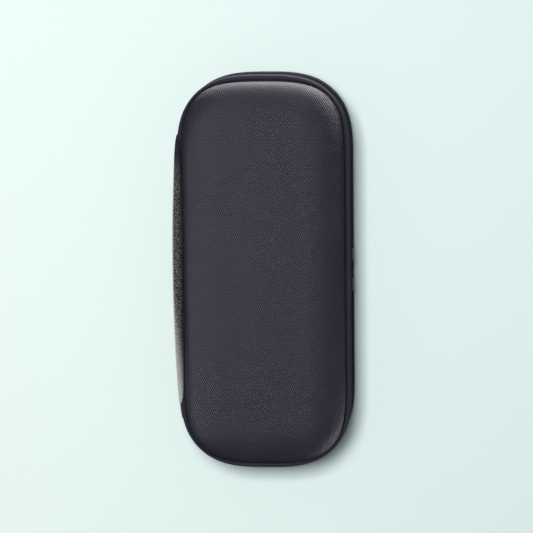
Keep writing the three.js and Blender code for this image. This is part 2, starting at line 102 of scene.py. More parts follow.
def make_piece(name, surfaces, material, body, node=None):
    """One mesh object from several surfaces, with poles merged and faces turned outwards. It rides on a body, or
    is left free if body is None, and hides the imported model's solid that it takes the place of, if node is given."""
    points, faces, uv = zip(*surfaces)
    starts = np.cumsum([0] + [len(part) for part in points[:-1]])
    mesh = bpy.data.meshes.new(name)
    mesh.from_pydata(np.vstack(points) * MM, [], np.vstack([f + s for f, s in zip(faces, starts)]))
    mesh.uv_layers.new(name="cloth").uv.foreach_set("vector", np.vstack(uv).astype(np.float32).ravel())
    shape = bmesh.new()
    shape.from_mesh(mesh)
    bmesh.ops.remove_doubles(shape, verts=shape.verts, dist=WELD * MM)
    bmesh.ops.recalc_face_normals(shape, faces=shape.faces)
    shape.to_mesh(mesh)
    shape.free()
    mesh.polygons.foreach_set("use_smooth", np.ones(len(mesh.polygons), bool))
    mesh.materials.append(material)
    piece = bpy.data.objects.new(name, mesh)
    bpy.context.scene.collection.objects.link(piece)
    if body:
        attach(piece, body)
    if node:
        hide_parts(node)
    print(f"{name}: {len(mesh.polygons)} faces")
    return piece


# %% [markdown]
# ## Lines, sections and sweeps
# A sewn piece is mostly a strip: a small section carried along a line. These helpers make soft corners, spread
# points evenly, and carry a section along any path. A strip that ends somewhere has its section drawn
# together there, which closes it like a folded edge.

# %% Line and sweep helpers
X, Y, Z = np.eye(3)


def unit(vectors):
    """The same directions, each of length 1."""
    return vectors / np.linalg.norm(vectors, axis=-1, keepdims=True)


def travelled(points):
    """Distance along a line of points, starting at 0."""
    return np.concatenate([[0], np.cumsum(np.linalg.norm(np.diff(points, axis=0), axis=1))])


def at_distance(places, distance, values):
    """What a line has at these places along it, by straight interpolation between its points."""
    return np.stack([np.interp(places, distance, axis) for axis in values.T], -1)


def rounded_line(corners, radius, steps=6):
    """A line with soft corners: each inner corner c gives way to the curve (1-t)^2 a + 2t(1-t) c + t^2 b, where a
    and b lie `radius` before and after it."""
    corners = np.asarray(corners, float)
    back, here, ahead = corners[:-2], corners[1:-1], corners[2:]
    a = here + radius * unit(back - here)
    b = here + radius * unit(ahead - here)
    t = np.linspace(0, 1, steps)[:, None]
    bends = (1 - t) ** 2 * a[:, None] + 2 * t * (1 - t) * here[:, None] + t**2 * b[:, None]
    return np.vstack([corners[:1], bends.reshape(-1, corners.shape[1]), corners[-1:]])


def even_line(points, spacing):
    """The same line with its points spread evenly, about `spacing` apart."""
    distance = travelled(points)
    places = np.linspace(0, distance[-1], int(np.ceil(distance[-1] / spacing)) + 1)
    return at_distance(places, distance, points)


def oval(half_width, half_height, count=16, power=4.0):
    """Section of a strip: a closed ring on |x / half_width|^power + |y / half_height|^power = 1."""
    angle = np.linspace(0, 2 * np.pi, count, endpoint=False)
    ring = joined(np.cos(angle), np.sin(angle))
    return np.sign(ring) * abs(ring) ** (2 / power) * (half_width, half_height)


def sweep(path, axis_x, axis_y, section, closed=False):
    """Carries a section along a path: point = path + section x times axis_x + section y times axis_y. Axes and section
    are the same all along, or one for each place. The rings of an open path should close at its ends."""
    sections = np.broadcast_to(section, (len(path), *section.shape[-2:]))
    points = path[:, None] + sections[..., :1] * axis_x[..., None, :] + sections[..., 1:] * axis_y[..., None, :]
    along = travelled(np.vstack([path, path[:1]]) if closed else path)
    widest = sections[len(path) // 2]
    across = travelled(np.vstack([widest, widest[:1]]))
    return surface(points, joined(along[:, None], across), closed_rows=closed, closed_columns=True)


def drawn_ends(distance, radius):
    """Share of the section that is left near both ends of a path: sqrt(1 - (1 - s / radius)^2) within `radius`."""
    from_end = np.minimum(distance, distance[-1] - distance)
    return np.sqrt(np.clip(1 - (1 - np.minimum(from_end / radius, 1)) ** 2, 0, 1))


# %% [markdown]
# ## Colours and nodes
# Colours are picked from the photograph as sRGB hex values, and a shader wants linear light, so one function
# turns them. One small function adds a node with its settings and links. A ripple is the basis of every
# weave: a sine that repeats after a real thread spacing in millimetres.

# %% Material helpers
NO_END = float("inf")


def linear(colour):
    """sRGB hex to linear light: c / 12.92 for dark values, and otherwise ((c + 0.055) / 1.055) ^ 2.4."""
    values = np.array([int(colour[i:i + 2], 16) for i in (1, 3, 5)]) / 255
    return (*np.where(values < 0.04045, values / 12.92, ((values + 0.055) / 1.055) ** 2.4), 1.0)


def add_node(tree, kind, inputs, output=0, **settings):
    """Adds one node and gives back one output, or several for a slice. `inputs` gives its sockets a value or another
    node's output, `settings` its properties."""
    node = tree.nodes.new("ShaderNode" + kind)
    for name, value in settings.items():
        setattr(node, name, value)
    for name, value in inputs.items():
        if isinstance(value, bpy.types.NodeSocket):
            tree.links.new(value, node.inputs[name])
        else:
            node.inputs[name].default_value = value
    return node.outputs[output]


def ripple(tree, place, across, along):
    """Sine of 2 pi (u / across + v / along), for a place in millimetres."""
    rate = (2 * np.pi / across, 2 * np.pi / along, 0)
    phase = add_node(tree, "VectorMath", {0: place, 1: rate}, "Value", operation="DOT_PRODUCT")
    return add_node(tree, "Math", {0: phase}, operation="SINE")


def chevrons(tree, place, folded, width, across, along):
    """A ripple whose lines turn back after each `width`: coordinate number `folded` runs back and forth."""
    parts = add_node(tree, "SeparateXYZ", {0: place}, slice(0, 2))
    parts[folded] = add_node(tree, "Math", {0: parts[folded], 1: width}, operation="PINGPONG")
    return ripple(tree, add_node(tree, "CombineXYZ", dict(enumerate(parts))), across, along)


def added(tree, total, *terms):
    """The total plus value times weight for each term of (value, weight)."""
    for value, weight in terms:
        total = add_node(tree, "Math", {0: value, 1: weight, 2: total}, operation="MULTIPLY_ADD")
    return total


def window(tree, *ramps):
    """Product of smooth steps: each ramp of (value, start, end) goes from 0 at its start to 1 at its end."""
    share = 1.0
    for value, start, end in ramps:
        step = add_node(tree, "MapRange", {0: value, 1: start, 2: end}, interpolation_type="SMOOTHSTEP")
        share = added(tree, 0.0, (step, share))
    return share


def new_material(name, **sockets):
    """An empty procedural material and its shader, with the numbers that are the same all over it."""
    material = bpy.data.materials.new(name)
    material.use_nodes = True
    shader = material.node_tree.nodes["Principled BSDF"]
    for socket, value in sockets.items():
        shader.inputs[socket.replace("_", " ")].default_value = value
    return material, material.node_tree, shader


def dress(tree, shader, tint, height, relief, gloss=None):
    """Links a colour, a height of `relief` millimetres and, where it varies, a roughness to the shader."""
    bump = add_node(tree, "Bump", {"Height": height, "Distance": relief * MM})
    for socket, output in (("Base Color", tint), ("Normal", bump), ("Roughness", gloss)):
        if output:
            tree.links.new(output, shader.inputs[socket])


# %% [markdown]
# ## Cloth in one dyed yarn
# All the cloth here is dyed polyester or nylon. What tells one from another is the weave, so one function makes
# the material and takes the weave as another function. High yarn is lighter than the hollows, partly from wear and
# partly as painted light on the high yarn and painted shade in the hollows, and loose fibres break up the pattern.
# Single fibres are far too fine to show, so they are drawn coarser.

# %% Cloth material
FIBRE = 0.5
FIBRE_LIFT = 0.5
PATCH = 14.0
PATCH_SHARE = 0.5
CONTRAST = 0.4
GLOSS_SPREAD = 0.08
YARN_RANGE = (-1.2, 1.6)
DULL = 0.95
# Tint of the painted highlight and painted sheen on the webbing.
HIGHLIGHT_TINT = "#e6e2e6"


def cloth_material(name, thread, hollow, weave, relief, roughness, pressed=None, painted_highlight=None, shine=None, **sockets):
    """`weave` adds nodes that give the yarn's height from -1 to 1: high yarn takes the thread colour, the hollows
    take the darker one, which is partly wear and partly painted shade, and the height in millimetres is `relief`.
    Loose fibres and slow patches of wear come from two noises. `pressed` gives the share of the weave that a mould
    has left, which also dulls the cloth, `painted_highlight` how far a painted highlight and painted sheen lighten the
    yarn, and `shine` the gloss of low and of high yarn."""
    material, tree, shader = new_material(name, **sockets)
    place = add_node(tree, "UVMap", {}, uv_map="cloth")
    fibre = add_node(tree, "TexNoise", {"Vector": place, "Scale": 1 / FIBRE, "Detail": 3.0})
    patch = add_node(tree, "TexNoise", {"Vector": place, "Scale": 1 / PATCH, "Detail": 2.0})
    height = added(tree, weave(tree, place), (fibre, FIBRE_LIFT))
    # Share of the thread colour: the weave's height paints light on high yarn and shade in the hollows, and slow
    # patches add wear.
    lighter_share = added(tree, 0.0, (height, CONTRAST), (patch, PATCH_SHARE))
    tint = add_node(tree, "Mix", {0: lighter_share, 6: linear(hollow), 7: linear(thread)}, 2, data_type="RGBA")
    gloss = add_node(tree, "MapRange", {0: patch, 3: roughness - GLOSS_SPREAD, 4: roughness + GLOSS_SPREAD})
    if pressed:
        left = pressed(tree)
        height = added(tree, 0.0, (height, left))
        gloss = add_node(tree, "Mix", {0: left, 2: DULL, 3: gloss}, data_type="FLOAT")
    # Painted highlight and painted sheen: the yarn is lightened towards a pale tint.
    if painted_highlight:
        tint = add_node(tree, "Mix", {0: painted_highlight(tree, place), 6: tint, 7: linear(HIGHLIGHT_TINT)}, 2, data_type="RGBA")
    if shine:
        ends = dict(enumerate((height, *YARN_RANGE, *shine)))
        level = add_node(tree, "MapRange", ends)
        level = added(tree, 0.0, (level, left)) if pressed else level
        tree.links.new(level, shader.inputs["Specular IOR Level"])
    dress(tree, shader, tint, height, relief, gloss)
    return material


# %% [markdown]
# ## The edge of the case
# Everything on the case follows its outline, a rounded rectangle. A plain arc meets a straight side with a jump in
# curvature that cloth never shows, so each corner eases in and out: its curvature ramps up, stays, and
# ramps down, and the outline is its running sum. The line starts in the middle of the spine and
# runs over the top end and down the front, so that a place on the zip is simply a distance.

# %% Outline of the case
CORNER_RADIUS = case_width / 3
CORNER_EASE = 0.9 * CORNER_RADIUS
SPINE_MIDDLE = 1.0
FINE = 400


def swell(distance, reach):
    """A raised cosine: 1 at distance 0, falling smoothly to 0 at the reach."""
    return (1 + np.cos(np.pi * np.clip(distance / reach, 0, 1))) / 2


def running_sum(values, places):
    """Integral of values over places by the trapezoid rule, starting at 0."""
    return np.concatenate([[0], np.cumsum((values[1:] + values[:-1]) / 2 * np.diff(places))])


corner_run = np.linspace(0, np.pi / 2 * CORNER_RADIUS + CORNER_EASE, FINE)
ramp = [0, CORNER_EASE, corner_run[-1] - CORNER_EASE, corner_run[-1]]
turned = running_sum(np.interp(corner_run, ramp, np.array([0, 1, 1, 0]) / CORNER_RADIUS), corner_run)
reach = running_sum(np.cos(turned), corner_run)
corner = joined(case_width / 2 - reach[-1] + reach, case_length / 2 - running_sum(np.sin(turned), corner_run))
corner_out = joined(np.sin(turned), np.cos(turned))
mirrors = [((-1, 1), -1), ((1, 1), 1), ((1, -1), -1), ((-1, -1), 1)]
start = np.array([[-case_width / 2, SPINE_MIDDLE]])
start_out = np.array([[-1.0, 0.0]])
edge_points = np.vstack([start, *[(corner * signs)[::order] for signs, order in mirrors], start])
edge_out = np.vstack([start_out, *[(corner_out * signs)[::order] for signs, order in mirrors], start_out])
edge_distance = travelled(edge_points)
edge_length = edge_distance[-1]
front = edge_length / 2 - SPINE_MIDDLE
corner_middles = edge_distance[1 + FINE // 2::FINE][:len(mirrors)]


def edge_at(run):
    """Points of the outline and its outward directions at these distances from the middle of the spine."""
    return at_distance(run, edge_distance, edge_points), unit(at_distance(run, edge_distance, edge_out))


print(f"the edge is {edge_length:.1f} mm round, and the front's middle is at {front:.1f} mm")

# %% [markdown]
# ## A moulded shell
# Each half of the case is a sandwich of cloth, foam and lining that is pressed in a heated mould. Its cross-section
# is the same all the way round: a rolled rim, a pressed groove, a shoulder and a nearly flat crown. So one
# profile of depths and heights is carried round the outline. The crown has squarer corners than the edge, so the
# rim narrows there. Past the shoulder the rings are gathered towards the middle line, where they close the crown.

# %% Profile of the wall
RIM_ROUND = 1.0
RIM_HEIGHT = 7.6
RIM_TOP = rim_edge + RIM_HEIGHT
GROOVE_DEPTH = 1.2
GROOVE_FLOOR = RIM_TOP - GROOVE_DEPTH
GROOVE_WIDTH = 0.5
CROWN_INSET = 2 * RIM_ROUND + GROOVE_WIDTH
SHOULDER = CORNER_RADIUS * 5 / 7
SHOULDER_POWER = 2.3
CROWN_RISE = 0.3
CROWN_TOP = parting - CROWN_RISE
CROWN_SLOPE = 3.0
CROWN_SQUARED = 1.0
SQUARED_REACH = 22.0
RING_POINTS = 320
shoulder_end = CROWN_INSET + SHOULDER
last_ring = shoulder_end + CROWN_SLOPE
ring_run = np.linspace(0, edge_length, RING_POINTS, endpoint=False)
ring_edge, ring_out = edge_at(ring_run)
ring_squared = CROWN_SQUARED * swell(abs(ring_run[:, None] - corner_middles).min(1), SQUARED_REACH)
middle_reach = (case_length - case_width) / 2
ring_middle = joined(0, np.clip(ring_edge[:, 1], -middle_reach, middle_reach))


def rings(edge, out, middle, inset, gather):
    """Rings inside an outline: each is the outline moved in by `inset`, then drawn to the middle line by `gather`."""
    moved = edge - inset[..., None] * out
    return moved + gather[..., None] * (middle - moved)


def crown(depth, rise, closing=10, easing=6):
    """Rows of (inset, height, gather) from the middle of the crown to the shoulder: the height eases up by `rise`."""
    inset = np.concatenate([np.full(closing, last_ring), np.linspace(last_ring, shoulder_end, easing)])
    gather = np.concatenate([np.linspace(1, 0, closing, endpoint=False), np.zeros(easing)])
    climbed = (inset + gather * (case_width / 2 - last_ring) - shoulder_end) / (case_width / 2 - shoulder_end)
    return joined(inset, CROWN_TOP - depth + rise * climbed**2 * (3 - 2 * climbed), gather)


def shoulder(depth, short=0.0, last_turn=0.0, steps=26):
    """A quarter of a squared-off ellipse, x = cos^(2/p) and y = sin^(2/p), from the level crown to the upright wall.
    It may end a `short` way before the wall, at its last turn, and is then stretched to that width."""
    angle = np.linspace(np.pi / 2, last_turn, steps + 1)[1:]
    share = (np.cos(angle) / np.cos(last_turn)) ** (2 / SHOULDER_POWER)
    height = GROOVE_FLOOR + (CROWN_TOP - depth - GROOVE_FLOOR) * np.sin(angle) ** (2 / SHOULDER_POWER)
    return joined(shoulder_end - (SHOULDER - depth - short) * share, height, 0)


def with_corners(face, depth):
    """Adds how far each ring goes out with the crown's corners: 0 at the rim's own depth, 1 from the crown's foot."""
    return joined(*face.T, np.clip((face[:, 0] - depth) / CROWN_INSET, 0, 1))


print(f"from the parting plane: rim {RIM_TOP:.1f}, groove {GROOVE_FLOOR:.1f}, crown {CROWN_TOP:.1f} mm")

# %% [markdown]
# ## Faces of the sandwich
# The cloth's outside has all the detail: a turned lip, a slightly bulging rim, its rolled top, the pressed groove, and
# a crisp edge where the shoulder stops above it. The faces between the layers follow it at a depth, and step in
# under the groove, where the mould squeezes the foam thin. The unrolled profile tells how far each ring lies
# along the cloth, so the weave keeps its size on the upright walls instead of smearing.

# %% Faces of the wall
EDGE_TURN = np.radians(19)
EDGE_IN = 0.4
GROOVE_BEND = 0.3
LEDGE_BEND = 0.5
RIM_BULGE = 0.15
LIP = 0.5
FOAM_GIVES = 2.0
COVER, FOAM_OUT, FOAM_IN, LINING_OUT, LINING_IN = 0.9, 1.2, 4.2, 4.5, 5.1


def cover_face():
    """The cloth's outside, from the crown's middle to the lip: shoulder, groove, half a circle for the rim, bulging
    wall d = -bulge * sin, and a quarter circle for the lip."""
    slope = shoulder(0, EDGE_IN, EDGE_TURN)
    fall = (slope[-1, 1] - slope[-2, 1]) / (slope[-1, 0] - slope[-2, 0]) * EDGE_IN
    groove = rounded_line(
        [slope[-1, :2], (CROWN_INSET, slope[-1, 1] - fall), (CROWN_INSET, GROOVE_FLOOR),
         (2 * RIM_ROUND, GROOVE_FLOOR), (2 * RIM_ROUND, RIM_TOP - RIM_ROUND)], GROOVE_BEND)
    angle = np.linspace(0, np.pi, 13)[1:]
    bead = RIM_ROUND * joined(1 + np.cos(angle), np.sin(angle)) + (0, RIM_TOP - RIM_ROUND)
    share = np.linspace(0, 1, 9)[1:]
    low = rim_edge + LIP
    wall = joined(-RIM_BULGE * np.sin(np.pi * share), bead[-1, 1] + share * (low - bead[-1, 1]))
    angle = np.linspace(0, np.pi / 2, 5)[1:]
    lip = LIP * joined(1 - np.cos(angle), -np.sin(angle)) + (0, low)
    foot = joined(*np.vstack([groove, bead, wall, lip]).T, 0)
    return with_corners(np.vstack([crown(0, CROWN_RISE), slope[:-1], foot]), 0)


def wall_face(depth, rise=0.0):
    """A face at a depth inside the wall, from the crown's middle to the rim's edge, with a ledge under the groove."""
    ledge = GROOVE_FLOOR - depth + (FOAM_GIVES if depth > FOAM_OUT else 0)
    foot = [(CROWN_INSET + depth, GROOVE_FLOOR), (CROWN_INSET + depth, ledge), (depth, ledge), (depth, rim_edge)]
    foot = joined(*rounded_line(foot, LEDGE_BEND).T, 0)
    return with_corners(np.vstack([crown(depth, rise), shoulder(depth)[:-1], foot]), depth)


def unrolled(face):
    """How far in each ring would lie if the cloth were rolled out flat from the last ring before the crown."""
    first = np.argmax(face[:, 2] == 0)
    return np.concatenate([face[:first, 0], last_ring - travelled(face[first:, :2])])


def moulded_shell(outer, inner, side):
    """A closed shell between two faces, carried round the case above (+1) or below (-1) the parting plane."""
    profile = np.vstack([outer, inner[::-1]])
    cloth = np.concatenate([unrolled(outer), unrolled(inner)[::-1]])
    gather = profile[:, 2, None]
    squared = profile[:, 3, None] * ring_squared
    flat = rings(ring_edge, ring_out, ring_middle, profile[:, 0, None] - squared, gather)
    uv = rings(ring_edge, ring_out, ring_middle, cloth[:, None] - squared, gather)
    points = joined(flat[..., 0], flat[..., 1], parting + side * profile[:, 1, None])
    return surface(points, np.concatenate([uv, uv[:, :1]], 1), closed_columns=True)


halves = [("lid", "upper", 1), ("base", "lower", -1)]
print(f"the cloth's face has {len(cover_face())} rings of {len(ring_run)} points")

# %% [markdown]
# ## Woven polyester twill, moulded
# The cover is a dyed polyester twill, a cloth whose threads float over two and under two, so that fine diagonal
# lines run over it. The photograph shows these lines about a millimetre apart, falling to the right. The real
# yarn is finer than a pixel, so only the lines and two ripples over them are drawn. The high yarn shines and the
# hollows don't, so the lines show best where a lamp is mirrored. The mould has left the rim flatter and duller.

# %% Covers in twill
WALE_ACROSS = 1.02
WALE_ALONG = 1.8
FLOAT_SHARE = 0.4
WEFT = 0.98
WEFT_SHARE = 0.3
WANDER = 5.0
WANDER_REACH = 1.2
RIM_WEAVE = 0.35
WEAVE_RETURNS = 1.5


def twill(tree, place):
    """Diagonal lines, with a ripple across them for the floats of the yarn and a level one for the weft. A slow noise
    shifts the place a little, as the yarns of a stretched cloth wander."""
    drift = add_node(tree, "TexNoise", {"Vector": place, "Scale": 1 / WANDER, "Detail": 2.0}, "Color")
    moved = {0: drift, 1: (WANDER_REACH, WANDER_REACH, 0), 2: place}
    place = add_node(tree, "VectorMath", moved, operation="MULTIPLY_ADD")
    lines = ripple(tree, place, WALE_ACROSS, WALE_ALONG)
    floats = ripple(tree, place, WALE_ACROSS, -WALE_ALONG / 2)
    return added(tree, lines, (floats, FLOAT_SHARE), (ripple(tree, place, NO_END, WEFT), WEFT_SHARE))


def pressed_rim(tree):
    """Share of the weave that is left: 1 on the crown, and little on the rim and in the groove, by the distance from
    the parting plane."""
    place = add_node(tree, "TexCoord", {}, "Object")
    z = add_node(tree, "SeparateXYZ", {0: place}, "Z")
    height = add_node(tree, "Math", {0: z, 1: parting * MM}, operation="SUBTRACT")
    height = add_node(tree, "Math", {0: height}, operation="ABSOLUTE")
    ends = {1: RIM_TOP * MM, 2: (RIM_TOP + WEAVE_RETURNS) * MM, 3: RIM_WEAVE, 4: 1.0}
    return add_node(tree, "MapRange", {0: height, **ends})


# Dark, with fine diagonal lines that glint where a lamp is mirrored.
twill_polyester = cloth_material(
    "polyester_twill_moulded", "#383645", "#272530", twill, relief=0.05, roughness=0.4,
    pressed=pressed_rim, shine=(0.0, 1.2), IOR=1.6)
for half, level, side in halves:
    faces = moulded_shell(cover_face(), wall_face(COVER, CROWN_RISE), side)
    make_piece(f"{half}_cover_cloth", [faces], twill_polyester, half, f"{half}_cover")

# %% [markdown]
# ## Foam and lining
# Under the cloth is a moulded sheet of closed-cell foam. Only its trimmed edge shows, along the open rim, with
# the cut cells as fine pits. The lining is a brushed tricot knit: its loops make fine zigzag columns, under
# a short nap that scatters light. Cells and loops are drawn coarser than real ones, so that they show. Both
# layers are the same sandwich at other depths.

# %% Foam and lining
CELL = 0.6
PIT = 0.2
COLUMN = 1.6
COLUMN_SHARE = 0.5
COURSE = 1.1


def knit(tree, place):
    """Zigzag columns: u folds back and forth in each column, and the courses follow it as chevrons."""
    loops = chevrons(tree, place, 0, COLUMN / 2, COLUMN, COURSE)
    return added(tree, loops, (ripple(tree, place, COLUMN, NO_END), COLUMN_SHARE))


# Nearly black and quite matt, with fine pits whose bottoms are painted darker as shade.
foam, tree, shader = new_material("closed_cell_foam_cut", Roughness=0.95, Specular_IOR_Level=0.3)
place = add_node(tree, "TexCoord", {}, "Object")
cells = add_node(tree, "TexVoronoi", {"Vector": place, "Scale": 1 / (CELL * MM)})
tint = add_node(tree, "Mix", {0: cells, 6: linear("#0e0e10"), 7: linear("#2c2c31")}, 2, data_type="RGBA")
dress(tree, shader, tint, cells, PIT)
# Soft and matt, lighter at a low angle from its nap.
tricot = cloth_material(
    "polyester_tricot_brushed", "#3d3c45", "#1f1e24", knit, relief=0.12, roughness=0.85,
    Sheen_Weight=0.5, Sheen_Roughness=0.5, Sheen_Tint=linear("#8d8b99"))
for half, level, side in halves:
    faces = moulded_shell(wall_face(FOAM_OUT, CROWN_RISE), wall_face(FOAM_IN), side)
    core = make_piece(f"{half}_foam_core", [faces], foam, half, f"{half}_foam")
    faces = moulded_shell(wall_face(LINING_OUT), wall_face(LINING_IN), side)
    make_piece(f"{half}_lining_knit", [faces], tricot, half, f"{half}_lining")

# %% [markdown]
# ## Strips that follow the edge
# The zip's tapes and the bindings over their seams are narrow woven strips, and they all run along the same outline
# at some depth and height. One function places a section there. The tapes stop under the spine; near the
# middle of the front the two sliders hold the rows of teeth apart, so the tapes bend back there.

# %% Strip along the edge
PARTED = 1.7
PARTED_REACH = 12.0
ZIP_START = 46.0


def edge_frame(run, depth, height, side):
    """Points at a depth and height along the edge, with the inward and the upright direction there."""
    edge, out = edge_at(run)
    moved = edge - out * depth
    return joined(*moved.T, parting + side * height), joined(*-out.T, 0), side * Z


def parted(run):
    """How far the sliders hold the teeth back: a raised cosine round the middle of the front."""
    return PARTED * swell(abs(run - front), PARTED_REACH)


zip_run = np.linspace(ZIP_START, edge_length - ZIP_START, 260)
print(f"the zip runs for {zip_run[-1] - zip_run[0]:.0f} mm")

# %% [markdown]
# ## Zip tape and binding
# Zip tape is woven in a herringbone, small chevrons that change direction across the strip, and has a round cord
# in the edge that the teeth grip. The binding is grosgrain, a ribbed ribbon with thick weft, and a row of
# stitches holds it. Each stitch is a short bowed thread, one tapered tube repeated along the seam. Chevrons
# and ribs are drawn coarser than real ones, so that they show.

# %% Tapes
TAPE_IN = LINING_IN + 0.9
TAPE_HALF = (0.3, 2.9)
TAPE_HEIGHT = 4.5
TAPE_END = 0.5
CORD = 0.6
CORD_HEIGHT = 2.3
CHEVRON = 1.5
CHEVRON_LINE = 1.2


def herringbone(tree, place):
    """Chevrons: the phase folds back and forth across the strip."""
    return chevrons(tree, place, 1, CHEVRON, CHEVRON_LINE, CHEVRON_LINE)


# Dark and matt, with small chevrons.
tape_polyester = cloth_material(
    "polyester_tape_herringbone", "#34333b", "#1a191e", herringbone, relief=0.10, roughness=0.75,
    Sheen_Weight=0.2, Sheen_Roughness=0.4)
cord_ring = oval(CORD, CORD, count=10, power=2)
ends = drawn_ends(zip_run - zip_run[0], TAPE_END)[:, None, None]
for half, level, side in halves:
    held_back = parted(zip_run)
    path = edge_frame(zip_run, TAPE_IN - TAPE_HALF[0], TAPE_HEIGHT + held_back / 2, side)
    cord_path = edge_frame(zip_run, TAPE_IN - 2 * TAPE_HALF[0] - CORD / 2, CORD_HEIGHT + held_back, side)
    strips = [sweep(*path, oval(*TAPE_HALF, power=6) * ends), sweep(*cord_path, cord_ring * ends)]
    make_piece(f"zipper_tape_{level}_weave", strips, tape_polyester, half, f"zipper_tape_{level}")

# %% Stitches
THREAD = 0.2
STITCH = 2.3
STITCH_PITCH = 3.2
PLY_ACROSS = 0.8
PLY_ALONG = 1.2


def stitches(middle, along, up):
    """A bowed thread at each place: t runs from -1 to 1 along it, it rises by (1 - t^2) threads and thins to
    nothing at both ends by sqrt(1 - t^2)."""
    t = np.linspace(-1, 1, 7)
    length = t * STITCH / 2
    bow = (1 - t**2) * THREAD
    line = middle[:, None] + along[..., None, :] * length[:, None] + up[..., None, :] * bow[:, None]
    ring = oval(THREAD, THREAD, count=6, power=2)
    round_it = ring[:, :1] * np.cross(along, up)[..., None, :] + ring[:, 1:] * up[..., None, :]
    thin = np.sqrt(1 - t**2)[:, None, None]
    points = line[:, :, None] + thin * round_it[..., None, :, :]
    around = np.linspace(0, 2 * np.pi * THREAD, len(ring) + 1)
    return surface(points, joined(length[:, None], around), closed_columns=True)


def twist(tree, place):
    """Two plies that wind round each other: a slanted ripple along the thread."""
    return ripple(tree, place, PLY_ACROSS, PLY_ALONG)


# A little lighter than the cloth, so that each stitch shows.
thread_polyester = cloth_material(
    "polyester_thread_twisted", "#4a4952", "#26252b", twist, relief=0.06, roughness=0.6,
    Sheen_Weight=0.2, Sheen_Roughness=0.3)
print(f"a stitch is {STITCH} mm long, one every {STITCH_PITCH} mm")

# %% Bindings
BINDING_HALF = (0.3, 1.25)
BINDING_DEPTH = TAPE_IN + 0.6
BINDING_HEIGHT = 6.15
RIB = 1.0
WARP = 0.5
WARP_SHARE = 0.3


def grosgrain(tree, place):
    """Ribs across the ribbon, with fine warp threads over them."""
    return added(tree, ripple(tree, place, RIB, NO_END), (ripple(tree, place, NO_END, WARP), WARP_SHARE))


# Dark ribs with a soft light on their crowns.
grosgrain_ribbon = cloth_material(
    "polyester_grosgrain_woven", "#3f3e46", "#1f1e23", grosgrain, relief=0.15, roughness=0.7,
    Sheen_Weight=0.25, Sheen_Roughness=0.35)
seam_run = np.arange(0, edge_length, edge_length / round(edge_length / STITCH_PITCH))
for half, level, side in halves:
    path = edge_frame(ring_run, BINDING_DEPTH, BINDING_HEIGHT, side)
    strip = sweep(*path, oval(*BINDING_HALF, power=5), closed=True)
    make_piece(f"{half}_binding_ribbon", [strip], grosgrain_ribbon, half, f"{half}_binding")
    middle, inward, upright = edge_frame(seam_run, BINDING_DEPTH + BINDING_HALF[0], BINDING_HEIGHT, side)
    seam = stitches(middle, np.cross(inward, upright), inward)
    make_piece(f"{half}_binding_stitches", [seam], thread_polyester, half)

# %% [markdown]
# ## Zip teeth
# The teeth are moulded nylon: each has a foot that grips the cord, a narrow neck and a wider head. The heads of
# one row sit in the gaps of the other, which is what holds a zip shut. A tooth is a short stack of rounded
# sections, and one array places all of them at the same pitch along the edge, half a pitch apart
# from row to row. Moulded nylon is dark and even, with the low shine of a fine grain, drawn coarse enough to show.

# %% Tooth rows
TOOTH_PITCH = 3.0
TEETH_MIDDLE = LINING_IN - 1.0
TOOTH_HEIGHT = np.array([3.2, 3.2, 2.9, 1.7, 1.2, 0.5, 0.1, -0.45, -0.7, -0.7])
TOOTH_HALF_RUN = np.array([0, 0.55, 0.75, 0.75, 0.42, 0.42, 0.6, 0.58, 0.35, 0])
TOOTH_HALF_DEPTH = np.array([0, 0.8, 1.0, 1.0, 0.9, 0.9, 0.9, 0.8, 0.5, 0])
TOOTH_ROUND = 6.0
NYLON_GRAIN = 0.4
NYLON_CLOUD = 6.0


def tooth_row(run, side):
    """All teeth of a row: each ring of a tooth is a squared oval, at its own height and size."""
    middle, inward, upright = edge_frame(run, TEETH_MIDDLE, parted(run), side)
    ring = oval(1, 1, count=8, power=3.5)
    across = ring[:, 0] * TOOTH_HALF_RUN[:, None]
    deep = ring[:, 1] * TOOTH_HALF_DEPTH[:, None]
    axes = [(across, np.cross(inward, upright)), (deep, inward), (TOOTH_HEIGHT[:, None], upright)]
    points = middle[:, None, None] + sum(size[..., None] * axis[..., None, None, :] for size, axis in axes)
    around = np.linspace(0, TOOTH_ROUND, len(ring) + 1)
    return surface(points, joined(TOOTH_HEIGHT[:, None], around), closed_columns=True)


# Even and dark, with a low shine that the grain breaks up.
nylon, tree, shader = new_material("nylon_teeth_moulded", Specular_IOR_Level=0.5, IOR=1.53)
place = add_node(tree, "TexCoord", {}, "Object")
grain = add_node(tree, "TexNoise", {"Vector": place, "Scale": 1 / (NYLON_GRAIN * MM), "Detail": 3.0})
cloud = add_node(tree, "TexNoise", {"Vector": place, "Scale": 1 / (NYLON_CLOUD * MM)})
tint = add_node(tree, "Mix", {0: cloud, 6: linear("#29282e"), 7: linear("#4b4a52")}, 2, data_type="RGBA")
dress(tree, shader, tint, grain, 0.03, add_node(tree, "MapRange", {0: grain, 3: 0.3, 4: 0.5}))
places = int((zip_run[-1] - zip_run[0]) / TOOTH_PITCH) * 2 - 2
tooth_run = front + (np.arange(places) - places / 2 + 0.5) * TOOTH_PITCH / 2
for half, level, side in halves:
    row = tooth_row(tooth_run[(1 - side) // 2::2], side)
    make_piece(f"zipper_teeth_{level}_row", [row], nylon, half, f"zipper_teeth_{level}")

# %% [markdown]
# ## Sliders and pulls
# A slider is die-cast zinc alloy with a dark enamel: two plates with rounded edges, a wedge between them that parts
# the teeth, flanges that guide them, and a bail that holds the pull. Casting rounds every edge, so the plates
# are stacks of rings inside their outline, and the bars are swept ovals. The enamel wears to the lighter
# metal on the edges that a thumb rubs.

# %% Enamelled metal
SCUFF = 0.8
SHARP_FROM, SHARP_ALL = 0.52, 0.62
